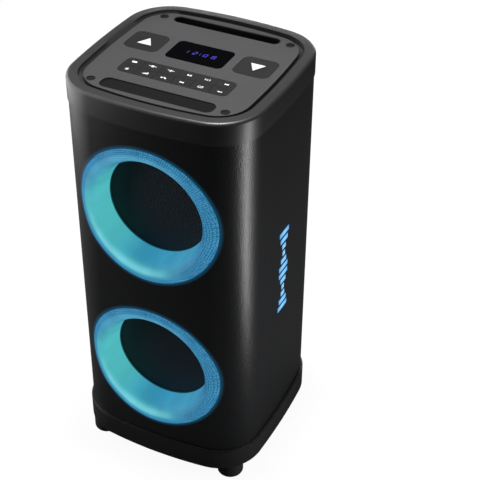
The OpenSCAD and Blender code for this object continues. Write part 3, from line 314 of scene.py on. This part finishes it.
class TOWER_OT_cabinet(bpy.types.Operator):
    """Cabinet, cap, plinth and feet"""
    bl_idname = "tower.cabinet"
    bl_label = "Cabinet"

    def execute(self, context):
        looks = context.scene.cabinet_looks
        # Vinyl skin pressed with a leather grain: dull, with a soft broken shine
        material, tree, shader, place = new_material("vinyl_skin", **{"Specular IOR Level": 0.45})
        shader.inputs["Base Color"].default_value = rgba(looks.skin)
        grain = add_node(tree, "ShaderNodeTexVoronoi", {"Vector": place, "Scale": 1 / looks.grain},
                         feature="SMOOTH_F1")
        rough = add_node(tree, "ShaderNodeMapRange", {"Value": grain.outputs["Distance"], "To Min": 0.28,
                                                     "To Max": 0.42})
        tree.links.new(rough.outputs[0], shader.inputs["Roughness"])
        bump = add_node(tree, "ShaderNodeBump", {"Height": grain.outputs["Distance"], "Strength": 0.8,
                                                "Distance": 0.25 * MM})
        tree.links.new(bump.outputs[0], shader.inputs["Normal"])
        # Painted light: the rings' glow is painted onto the skin as emission
        glow = painted_ring_light(tree, place, looks.halo)
        tree.links.new(glow, shader.inputs["Emission Strength"])
        shader.inputs["Emission Color"].default_value = linear("#0b4a66")
        dress(material, "front_wall", "rear_wall", "left_wall", "right_wall")

        # Cap and plinth: satin ABS with a spark-eroded grain that softens its reflections
        satin = moulded("satin_abs_cap", "#222223", 0.4, 0.9, 0.03, 0.04)
        dress(satin, "top_cap")
        round_cap(satin)
        dress(moulded("abs_plinth", "#1a1a1a", 0.42, 0.9, 0.05), "base_plinth")
        # Feet: dull rubber with a powdery bloom
        dress(moulded("rubber_feet", "#121212", 0.75, 0.7, 0.08), "front_left_foot", "front_right_foot",
              "rear_left_foot", "rear_right_foot")
        return {"FINISHED"}


def round_cap(material):
    """Copy of the cap whose outer upper edge is rounded by a bevel; it stands for the cap."""
    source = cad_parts["top_cap"]
    cap = bpy.data.objects.new("cap_shell", source.data.copy())
    bpy.context.scene.collection.objects.link(cap)
    pick(cap)
    bpy.ops.object.mode_set(mode="EDIT")
    bpy.ops.mesh.select_all(action="SELECT")
    bpy.ops.mesh.remove_doubles(threshold=0.01 * MM)
    bpy.ops.mesh.dissolve_limited(angle_limit=math.radians(0.3))
    bpy.ops.mesh.select_all(action="DESELECT")
    bpy.ops.object.mode_set(mode="OBJECT")
    mesh = cap.data
    top = max(vertex.co.z for vertex in mesh.vertices) - 0.01 * MM
    outward = set()
    for face in mesh.polygons:
        if abs(face.normal.z) < 0.1 and face.normal.dot(face.center * Vector((1, 1, 0))) > 0:
            outward.update(face.edge_keys)
    level = set()
    for face in mesh.polygons:
        if face.normal.z > 0.9 and face.center.z > top:
            level.update(face.edge_keys)
    for edge in mesh.edges:
        edge.select = edge.key in outward and edge.key in level
    bpy.ops.object.mode_set(mode="EDIT")
    bpy.ops.mesh.select_mode(type="EDGE")
    bpy.ops.mesh.bevel(offset=CAP_EDGE, segments=5, profile=0.5, affect="EDGES")
    bpy.ops.object.mode_set(mode="OBJECT")
    pick(cap)
    bpy.ops.object.shade_smooth_by_angle(angle=math.radians(35))
    finish_piece([cap], "cap_shell", material, "cabinet")
    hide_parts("top_cap")


def painted_ring_light(tree, place, reach):
    """Strength of the painted light that stands for what the rings throw on what surrounds them, by
    distance.
    """
    axes = add_node(tree, "ShaderNodeSeparateXYZ", {0: place}).outputs
    total = None
    for z in RING_Z.values():
        level = add_node(tree, "ShaderNodeMath", {0: axes[2], 1: z}, operation="SUBTRACT").outputs[0]
        flat = add_node(tree, "ShaderNodeCombineXYZ", {0: axes[0], 1: level}).outputs[0]
        away = add_node(tree, "ShaderNodeVectorMath", {0: flat}, operation="LENGTH").outputs["Value"]
        near = add_node(tree, "ShaderNodeMapRange",
                        {"Value": away, "From Min": RING_R, "From Max": RING_R + reach,
                         "To Min": 1.0, "To Max": 0.0}, interpolation_type="SMOOTHERSTEP").outputs[0]
        total = near if total is None else add_node(tree, "ShaderNodeMath", {0: total, 1: near},
                                                    operation="ADD").outputs[0]
    front = add_node(tree, "ShaderNodeMath", {0: axes[1], 1: GLOW_BACK_Y},
                     operation="LESS_THAN").outputs[0]
    lit = add_node(tree, "ShaderNodeMath", {0: total, 1: front}, operation="MULTIPLY").outputs[0]
    return add_node(tree, "ShaderNodeMath", {0: lit, 1: GLOW_LEVEL}, operation="MULTIPLY").outputs[0]


# Symbols on the keys: kind, x, y, then sizes, all in millimetres from the key's middle
SYMBOLS = {
    "mode": [("bar", 0, 1.3, 7, 0.8, 0), ("bar", 0, 0, 7, 0.8, 0), ("bar", 0, -1.3, 7, 0.8, 0)],
    "record": [("hoop", 0, 0, 2.2, 0.6), ("disc", 0, 0, 1.2, 24, 0), ("bar", 4.2, 0, 2.4, 0.7, 0),
               ("bar", -4.2, 0, 2.4, 0.7, 0)],
    "voice": [("bar", 0, 0.6, 1.6, 2.6, 0), ("bar", 0, -1.4, 0.6, 1.4, 0), ("bar", 0, -2.1, 2.6, 0.6, 0),
              ("bar", -2.6, 0.4, 0.6, 2.4, 0), ("bar", 2.6, 0.4, 0.6, 2.4, 0),
              ("bar", -4.2, 0.4, 0.6, 1.4, 0), ("bar", 4.2, 0.4, 0.6, 1.4, 0)],
    "play": [("disc", -1.3, 0, 2, 3, -90), ("bar", 1.5, 0, 0.8, 3.2, 0), ("bar", 3.1, 0, 0.8, 3.2, 0)],
    "preset": [("bar", -3, 0, 0.6, 4, 0), ("bar", 0, 0, 0.6, 4, 0), ("bar", 3, 0, 0.6, 4, 0),
               ("bar", -3, 0.8, 1.8, 0.9, 0), ("bar", 0, -0.9, 1.8, 0.9, 0),
               ("bar", 3, 0.4, 1.8, 0.9, 0)],
    "next": [("disc", -1.8, 0, 1.8, 3, -90), ("disc", 0.8, 0, 1.8, 3, -90), ("bar", 2.6, 0, 0.7, 3, 0)],
    "light": [("disc", 0, 0, 1.2, 24, 0)] + [
        ("bar", 2.3 * math.cos(a), 2.3 * math.sin(a), 1.2, 0.5, math.degrees(a))
        for a in (i * math.pi / 4 for i in range(8))],
    "bass": [("bar", -3.2, -1.1, 1, 1.4, 0), ("bar", -1.6, -0.7, 1, 2.2, 0), ("bar", 0, -0.3, 1, 3, 0),
             ("bar", 1.6, 0.1, 1, 3.8, 0), ("bar", 3.2, 0.5, 1, 4.6, 0)],
    "effect": [("disc", -2.6, 0, 1.7, 4, 0), ("disc", 0.8, 0.9, 1.2, 4, 0), ("disc", 3, -0.8, 1.5, 4, 0)],
    "previous": [("disc", 1.8, 0, 1.8, 3, 90), ("disc", -0.8, 0, 1.8, 3, 90),
                 ("bar", -2.6, 0, 0.7, 3, 0)],
    "repeat": [("bar", 0, 1.6, 5.4, 0.6, 0), ("bar", 0, -1.6, 5.4, 0.6, 0), ("bar", -2.9, 0, 0.6, 3.8, 0),
               ("bar", 2.9, -0.6, 0.6, 2.6, 0), ("disc", 2.9, 1.6, 1.3, 3, -90)],
    "mute": [("bar", -2.2, 0, 1.4, 1.6, 0), ("disc", -0.9, 0, 1.9, 3, 90), ("bar", 2.2, 0, 3, 0.6, 45),
             ("bar", 2.2, 0, 3, 0.6, -45)],
}

# Lit segments of each digit, in the order top, upper left, upper right, middle, lower left,
# lower right, bottom
DIGITS = {"0": "1110111", "1": "0010010", "2": "1011101", "8": "1111111"}


def build_symbol(shapes, x, y, z, height):
    """Flat shapes of one symbol, at a key's middle."""
    parts = []
    for kind, dx, dy, *sizes in shapes:
        px, py = x + dx * MM, y + dy * MM
        if kind == "bar":
            w, d, turn = sizes
            parts.append(bar(px, py, z, w * MM, d * MM, height, math.radians(turn)))
        elif kind == "disc":
            r, sides, turn = sizes
            parts.append(disc(px, py, z, r * MM, height, sides, math.radians(turn)))
        else:
            r, width = sizes
            parts.append(hoop(px, py, z, r * MM, width * MM, height))
    return parts


class TOWER_OT_top_panel(bpy.types.Operator):
    """Top panel, display, keys with their symbols, plugs, tray and slot"""
    bl_idname = "tower.top_panel"
    bl_label = "Top panel"

    def execute(self, context):
        looks = context.scene.panel_looks
        # Satin ABS: fine grain, slightly cloudy grey
        dress(moulded("satin_abs_panel", "#303031", 0.45, 0.8, 0.03, 0.04), "top_panel")
        # Keys of a darker, finer moulding that is rubbed a little smoother
        dress(moulded("abs_keys", "#181819", 0.38, 0.7, 0.02, 0.05, **{"Specular IOR Level": 0.3}),
              "up_key", "down_key", *[name + "_key" for name in SYMBOLS])
        # Plugs, mat and liner: near-black, the rubber ones dull and powdery
        dress(moulded("abs_plugs", "#0a0a0a", 0.5, 0.8, 0.03, **{"Specular IOR Level": 0.2}),
              "screw_plugs")
        dress(moulded("rubber_mat", "#070707", 0.8, 0.9, 0.06, **{"Specular IOR Level": 0.12}),
              "rest_mat")
        dress(moulded("abs_liner", "#060606", 0.6, 0.9, 0.05, **{"Specular IOR Level": 0.15}),
              "slot_liner")
        # Smoked acrylic over the digits: deep black with a clean gloss
        dress(moulded("smoked_acrylic", "#010102", 0.1, 2.0, 0.002, 0.1, **{"Specular IOR Level": 0.12}),
              "display_window")

        # Screen-printed ink: thick, even and slightly chalky
        white = moulded("white_ink", "#b0b0b0", 0.5, 0.6, 0.01, 0.05)
        crisp = moulded("white_legend_ink", "#e6e6e6", 0.5, 0.6, 0.01, 0.05)
        for side, name in ((0, "up"), (math.pi, "down")):
            place = middle(name + "_key")
            arrow = disc(place.x, place.y, PANEL_TOP, 1, ARROW_INK, 3, side)
            # The ink covers the raised arrowhead and its edges
            low = ARROW_LOW * MM
            size = ARROW_SIZE * MM
            xs = [v.co.x for v in arrow.data.vertices]
            ys = [v.co.y for v in arrow.data.vertices]
            for v in arrow.data.vertices:
                v.co.x = low.x + (v.co.x - min(xs)) / (max(xs) - min(xs)) * size.x
                v.co.y = low.y + (v.co.y - min(ys)) / (max(ys) - min(ys)) * size.y
            chamfer(arrow, ARROW_CHAMFER)
            finish_piece([arrow], name + "_arrow", white, name + "_key")
        for name, shapes in SYMBOLS.items():
            place = middle(name + "_key")
            parts = build_symbol(shapes, place.x, place.y, PANEL_TOP, SYMBOL_INK)
            finish_piece(parts, name + "_symbol", crisp, name + "_key")

        # Lit digits that show through the window
        lit, tree, shader, place = new_material("lit_digits", **{"Emission Strength": 0.9})
        shader.inputs["Base Color"].default_value = rgba(looks.digits)
        glow = add_node(tree, "ShaderNodeTexNoise", {"Vector": place, "Scale": 900.0})
        ramp = add_node(tree, "ShaderNodeMapRange", {"Value": glow.outputs[0], "To Min": 0.7,
                                                    "To Max": 1.2})
        tree.links.new(ramp.outputs[0], shader.inputs["Emission Strength"])
        shader.inputs["Emission Color"].default_value = rgba(looks.digits)
        window = middle("display_window")
        parts = []
        for i, digit in enumerate("1208"):
            x = window.x + (DIGIT_START + i * DIGIT_STEP + (COLON_ROOM if i > 1 else 0)) * MM
            parts += build_digit(digit, x, window.y, PANEL_TOP)
        for y in (-COLON_HEIGHT, COLON_HEIGHT):
            parts.append(disc(window.x, window.y + y * MM, PANEL_TOP, 0.5 * MM, DIGIT_INK))
        finish_piece(parts, "display_digits", lit, "cabinet")
        return {"FINISHED"}


def build_digit(digit, x, y, z):
    """Lit bars of one digit, slanted like a display's."""
    w, h, stroke = DIGIT_W, DIGIT_H, DIGIT_STROKE
    places = [(0, h, w, stroke), (-w / 2, h / 2, stroke, h), (w / 2, h / 2, stroke, h), (0, 0, w, stroke),
              (-w / 2, -h / 2, stroke, h), (w / 2, -h / 2, stroke, h), (0, -h, w, stroke)]
    parts = []
    for on, (dx, dy, bw, bh) in zip(DIGITS[digit], places):
        if on == "1":
            lean = dy * DIGIT_LEAN
            parts.append(bar(x + (dx + lean) * MM, y + dy * MM, z, (bw - DIGIT_GAP) * MM,
                             (bh - DIGIT_GAP) * MM, DIGIT_INK))
    return parts


class TOWER_OT_rings(bpy.types.Operator):
    """Lit rings and the lamps behind them"""
    bl_idname = "tower.rings"
    bl_label = "Lit rings"

    def execute(self, context):
        looks = context.scene.ring_looks
        for name, z in RING_Z.items():
            dress(ring_material(name, z, looks), name + "_ring_lens")
        # White solder mask on aluminium: chalky and even
        dress(moulded("white_solder_mask", "#e4e2da", 0.45, 0.8, 0.02), "upper_led_ring",
              "lower_led_ring", "side_light_board")
        return {"FINISHED"}


def ring_material(name, z, looks):
    """Opal light guide lit from behind: blue, painted brighter and teal on the side whose throat faces
    the viewer, with a painted ridge highlight, painted shade at the throat's inner edge, and a printed
    dot pattern.
    """
    material, tree, shader, place = new_material(name + "_opal_ring", Roughness=0.6,
                                                 **{"Specular IOR Level": 0.15})
    shader.inputs["Base Color"].default_value = linear("#04141c")

    def maths(operation, a, b=0.0):
        return add_node(tree, "ShaderNodeMath", {0: a, 1: b}, operation=operation).outputs[0]

    def ramp(value, low, high, at_low=0.0, at_high=1.0):
        return add_node(tree, "ShaderNodeMapRange", {"Value": value, "From Min": low, "From Max": high,
                                                     "To Min": at_low, "To Max": at_high},
                        interpolation_type="SMOOTHSTEP").outputs[0]

    def mix(share, first, second):
        return add_node(tree, "ShaderNodeMix", {0: share, 6: first, 7: second},
                        data_type="RGBA").outputs[2]

    centred = add_node(tree, "ShaderNodeMapping", {"Vector": place, "Location": (0, 0, -z)}).outputs[0]
    axes = add_node(tree, "ShaderNodeSeparateXYZ", {0: centred}).outputs
    flat = add_node(tree, "ShaderNodeCombineXYZ", {0: axes[0], 1: axes[2]}).outputs[0]
    away = add_node(tree, "ShaderNodeVectorMath", {0: flat}, operation="LENGTH").outputs["Value"]
    unit = add_node(tree, "ShaderNodeVectorMath", {0: flat}, operation="NORMALIZE").outputs[0]

    def towards(x, y):
        return add_node(tree, "ShaderNodeVectorMath", {0: unit, 1: (x, y, 0)},
                        operation="DOT_PRODUCT").outputs["Value"]

    # Painted light: the throat and band are painted brighter and teal on the lower left, where the
    # throat's wall faces the viewer
    painted_bright_side = ramp(towards(-0.88, -0.48), -0.30, 0.80)
    top = ramp(towards(-0.4, 0.92), 0.2, 1.0)
    low = ramp(towards(-0.5, -0.87), 0.55, 0.98)

    # Throat wall, mouth and outer band, from the inside out
    wall = mix(painted_bright_side, rgba(looks.deep), rgba(looks.teal))
    band = mix(painted_bright_side, rgba(looks.band), rgba(looks.teal))
    band = mix(top, band, linear("#4694b8"))
    rim = mix(painted_bright_side, rgba(looks.band), rgba(looks.edge))
    wall = mix(ramp(towards(0.3, -0.95), 0.3, 1.0), wall, linear("#2f8fb4"))
    colour = mix(ramp(away, *THROAT_TO_BAND), wall, band)
    colour = mix(ramp(away, *BAND_TO_RIM), colour, rim)

    # Painted highlight along the ridge where the mouth turns over, on the low side
    painted_ridge_highlight = maths("MULTIPLY", ramp(away, *RIDGE_HIGHLIGHT_RISE), ramp(away, *RIDGE_HIGHLIGHT_FALL, 1.0, 0.0))
    colour = mix(maths("MULTIPLY", painted_ridge_highlight, low), colour, linear("#74cfe0"))

    # Printed dots, laid out round the ring and across its depth, coarser than the real ones
    turn = maths("ARCTAN2", axes[2], axes[0])
    sheet = add_node(tree, "ShaderNodeCombineXYZ", {0: maths("MULTIPLY", turn, DOT_SHEET_R),
                                                   1: maths("SUBTRACT", away, axes[1])}).outputs[0]
    dots = add_node(tree, "ShaderNodeTexVoronoi", {"Vector": sheet, "Scale": 1 / looks.dot,
                                                  "Randomness": 0.35}, voronoi_dimensions="2D")
    dotted = ramp(dots.outputs["Distance"], 0.12, 0.42, 1.0, 0.0)
    speck = maths("MULTIPLY", dotted, ramp(painted_bright_side, 0.0, 1.0, 0.30, 0.10))
    colour = mix(speck, colour, linear("#9fdcec"))

    # Slow unevenness of the lamps behind, and a line of painted shade at the throat's inner edge
    cloud = add_node(tree, "ShaderNodeTexNoise", {"Vector": flat, "Scale": 30.0, "Detail": 3.0})
    level = ramp(cloud.outputs[0], 0.3, 0.7, 0.88, 1.06)
    level = maths("MULTIPLY", level,
                  ramp(axes[1], GRILLE_Y - THROAT_SHADE[0], GRILLE_Y - THROAT_SHADE[1], 1.0, 0.08))
    tree.links.new(colour, shader.inputs["Emission Color"])
    tree.links.new(level, shader.inputs["Emission Strength"])
    return material


class TOWER_OT_woofers(bpy.types.Operator):
    """Grilles, cones, surrounds, spiders, baskets and magnets"""
    bl_idname = "tower.woofers"
    bl_label = "Woofers"

    def execute(self, context):
        both = ("upper_", "lower_")
        # Perforated steel, stove enamelled: rows of small dark holes in a soft black sheen
        material, tree, shader, place = new_material("enamelled_grille", **{"Specular IOR Level": 0.35})
        shader.inputs["Roughness"].default_value = 0.5
        spread = add_node(tree, "ShaderNodeMapping", {"Vector": place, "Rotation": (math.pi / 2, 0, 0)})
        holes = add_node(tree, "ShaderNodeTexVoronoi",
                         {"Vector": spread.outputs[0], "Scale": 1 / HOLE_STEP, "Randomness": 0.0},
                         voronoi_dimensions="2D")
        ring = add_node(tree, "ShaderNodeMapRange", {"Value": holes.outputs["Distance"], "From Min": 0.28,
                                                    "From Max": 0.4})
        colour = add_node(tree, "ShaderNodeMix", {0: ring.outputs[0], 6: linear("#101216"),
                                                 7: linear("#24262b")}, data_type="RGBA")
        tree.links.new(colour.outputs[2], shader.inputs["Base Color"])
        bump = add_node(tree, "ShaderNodeBump", {"Height": ring.outputs[0], "Distance": 0.2 * MM,
                                                "Strength": 0.5})
        tree.links.new(bump.outputs[0], shader.inputs["Normal"])
        dress(material, *[b + "grille" for b in both])
        # Pressed paper, butyl rubber and stiffened cloth: dry and rough, smooth and dull, brown and dry
        dress(moulded("paper_cone", "#1b1b1d", 0.85, 1.2, 0.15), *[b + "cone" for b in both])
        dress(moulded("butyl_surround", "#121212", 0.6, 0.9, 0.03), *[b + "surround" for b in both])
        dress(moulded("phenolic_cloth", "#b08a4a", 0.85, 0.6, 0.1), *[b + "spider" for b in both])
        # Enamelled steel, grey ferrite and blackened steel: even sheen, dull stone, dark metal glints
        dress(moulded("enamelled_basket", "#1a1a1a", 0.4, 0.7, 0.03), *[b + "basket" for b in both])
        dress(moulded("ferrite_magnet", "#2b2b2e", 0.55, 0.5, 0.05, Metallic=0.4),
              *[b + "magnet" for b in both])
        dress(moulded("blackened_screws", "#2c2c2e", 0.35, 0.4, 0.01, Metallic=1.0), "woofer_screws",
              "case_screws")
        return {"FINISHED"}


class TOWER_OT_side_light(bpy.types.Operator):
    """Bars of the side light"""
    bl_idname = "tower.side_light"
    bl_label = "Side light"

    def execute(self, context):
        # Frosted acrylic lit from behind: brightest along its middle, slightly cloudy
        material, tree, shader, place = new_material("lit_acrylic_bars", Roughness=0.3)
        shader.inputs["Base Color"].default_value = linear("#2f6f9c")
        centred = add_node(tree, "ShaderNodeSeparateXYZ", {0: place}).outputs
        shift = add_node(tree, "ShaderNodeMath", {0: centred[1], 1: SIDE_LIGHT_Y}, operation="SUBTRACT")
        spread = add_node(tree, "ShaderNodeMath", {0: shift.outputs[0]}, operation="ABSOLUTE").outputs[0]
        core = add_node(tree, "ShaderNodeMapRange", {"Value": spread, "From Min": BAR_CORE[0],
                                                    "From Max": BAR_CORE[1], "To Min": 1.0,
                                                    "To Max": 0.0}).outputs[0]
        colour = add_node(tree, "ShaderNodeMix", {0: core, 6: linear("#4f8cc6"), 7: linear("#82bdea")},
                          data_type="RGBA").outputs[2]
        noise = add_node(tree, "ShaderNodeTexNoise", {"Vector": place, "Scale": 300.0})
        level = add_node(tree, "ShaderNodeMapRange", {"Value": noise.outputs[0], "To Min": 0.85,
                                                     "To Max": 1.1}).outputs[0]
        tree.links.new(colour, shader.inputs["Emission Color"])
        tree.links.new(level, shader.inputs["Emission Strength"])
        dress(material, "side_light_lens")
        return {"FINISHED"}


class TOWER_OT_back(bpy.types.Operator):
    """Back panel, sockets, knobs, rocker, port and hand grip"""
    bl_idname = "tower.back"
    bl_label = "Back"

    def execute(self, context):
        # Coarsely textured ABS: dull and even
        dress(moulded("textured_abs_back", "#171717", 0.55, 1.0, 0.1), "rear_panel", "port_tube",
              "grip_cup")
        # Nylon sockets and inlet: fine and slightly waxy
        dress(moulded("nylon_sockets", "#0f0f10", 0.4, 0.6, 0.02), "input_sockets", "power_inlet")
        # Polished red rocker: a clean highlight on a deep colour
        dress(moulded("gloss_rocker", "#8e1510", 0.22, 1.5, 0.005), "power_rocker")
        # Knobs of satin ABS: soft round highlights
        dress(moulded("abs_knobs", "#151515", 0.4, 0.7, 0.03), "mic_volume_knob", "echo_knob")
        return {"FINISHED"}


class TOWER_OT_inside(bpy.types.Operator):
    """Baffle board, circuit boards, heat sink and leads"""
    bl_idname = "tower.inside"
    bl_label = "Inside"

    def execute(self, context):
        # Raw fibreboard: brown, dry and speckled
        dress(moulded("raw_fibreboard", "#8a6a44", 0.85, 1.5, 0.1), "baffle_board")
        # Solder mask: green with a varnished shine
        dress(moulded("green_solder_mask", "#1c5a34", 0.35, 1.0, 0.02), "control_board", "amp_board",
              "power_board")
        # Extruded aluminium: bright metal with a soft, even blur
        dress(moulded("extruded_aluminium", "#b9bbbd", 0.35, 0.3, 0.01, Metallic=1.0), "heat_sink")
        # Sleeve of the leads: soft red vinyl
        dress(moulded("lead_sleeve", "#7d1414", 0.45, 0.5, 0.01), "speaker_leads")
        return {"FINISHED"}


class TOWER_OT_stage(bpy.types.Operator):
    """Floor, lamps, world and camera"""
    bl_idname = "tower.stage"
    bl_label = "Studio"

    def execute(self, context):
        looks = context.scene.studio_looks
        deselect()
        bpy.ops.mesh.primitive_plane_add(size=FLOOR_SIDE, location=(0, 0, 0))
        floor = bpy.context.object
        floor.name = "floor"
        # Studio paper: pure white to the eye, but dark in reflections, so only the lamps shape the black
        paper = bpy.data.materials.new("white_paper")
        paper.use_nodes = True
        tree = paper.node_tree
        tree.nodes.clear()
        seen = seen_directly(tree)
        dull = add_node(tree, "ShaderNodeBsdfDiffuse", {"Color": (*[FLOOR_DULL] * 3, 1)}).outputs[0]
        level = add_node(tree, "ShaderNodeMath", {0: seen, 1: FLOOR_WHITE},
                         operation="MULTIPLY").outputs[0]
        white = add_node(tree, "ShaderNodeEmission", {"Color": (1, 1, 1, 1),
                                                      "Strength": level}).outputs[0]
        both = add_node(tree, "ShaderNodeAddShader", {0: dull, 1: white}).outputs[0]
        add_node(tree, "ShaderNodeOutputMaterial", {"Surface": both})
        floor.data.materials.append(paper)

        world = bpy.data.worlds.new("studio")
        world.use_nodes = True
        tree = world.node_tree
        tree.nodes.clear()
        seen = seen_directly(tree)
        level = add_node(tree, "ShaderNodeMapRange", {"Value": seen, "To Min": looks.ambient,
                                                     "To Max": 1.0}).outputs[0]
        sky = add_node(tree, "ShaderNodeBackground", {"Color": (1, 1, 1, 1), "Strength": level})
        add_node(tree, "ShaderNodeOutputWorld", {"Surface": sky.outputs[0]})
        context.scene.world = world

        for lamp in LAMPS:
            add_lamp(*lamp)

        deselect()
        bpy.ops.object.camera_add(location=CAMERA_PLACE)
        camera = bpy.context.object
        camera.name = "camera"
        aim = Vector(CAMERA_AIM) - camera.location
        turn = aim.to_track_quat("-Z", "Y").to_euler()
        turn.rotate_axis("Z", math.radians(CAMERA_ROLL))
        camera.rotation_euler = turn
        camera.data.lens = CAMERA_LENS
        camera.data.sensor_width = 36
        camera.data.clip_end = 60
        context.scene.camera = camera
        context.scene.view_settings.view_transform = "Standard"
        return {"FINISHED"}


def seen_directly(tree):
    """One for rays from the camera, also through glass, and zero for light and reflections."""
    ray = add_node(tree, "ShaderNodeLightPath").outputs
    return add_node(tree, "ShaderNodeMath", {0: ray["Is Camera Ray"], 1: ray["Is Transmission Ray"]},
                    operation="MAXIMUM").outputs[0]


def add_lamp(name, place, target, size, power):
    """Soft rectangular lamp that faces a target."""
    deselect()
    bpy.ops.object.light_add(type="AREA", location=place)
    lamp = bpy.context.object
    lamp.name = name
    lamp.rotation_euler = (Vector(target) - Vector(place)).to_track_quat("-Z", "Y").to_euler()
    lamp.data.shape = "RECTANGLE"
    lamp.data.size, lamp.data.size_y = size
    lamp.data.energy = power
    lamp.visible_camera = False


class TOWER_PT_sidebar(bpy.types.Panel):
    """Lists the operators and settings"""
    bl_label = "Tower"
    bl_idname = "TOWER_PT_sidebar"
    bl_space_type = "VIEW_3D"
    bl_region_type = "UI"
    bl_category = "Tower"

    def draw(self, context):
        column = self.layout.column()
        for operator in OPERATORS:
            column.operator(operator.bl_idname)
        for name, group in SETTINGS.items():
            for key in group.__annotations__:
                column.prop(getattr(context.scene, name), key)


SETTINGS = {"cabinet_looks": CabinetLooks, "ring_looks": RingLooks, "panel_looks": PanelLooks,
            "studio_looks": StudioLooks}
OPERATORS = (TOWER_OT_cabinet, TOWER_OT_top_panel, TOWER_OT_rings, TOWER_OT_woofers,
             TOWER_OT_side_light, TOWER_OT_back, TOWER_OT_inside, TOWER_OT_stage)


def register():
    for cls in (*SETTINGS.values(), *OPERATORS, TOWER_PT_sidebar):
        bpy.utils.register_class(cls)
    for name, group in SETTINGS.items():
        setattr(bpy.types.Scene, name, PointerProperty(type=group))


def unregister():
    for name in SETTINGS:
        delattr(bpy.types.Scene, name)
    for cls in reversed((*SETTINGS.values(), *OPERATORS, TOWER_PT_sidebar)):
        bpy.utils.unregister_class(cls)


def main():
    register()
    for operator in OPERATORS:
        group, call = operator.bl_idname.split(".")
        getattr(getattr(bpy.ops, group), call)()


if __name__ == "__main__":
    main()
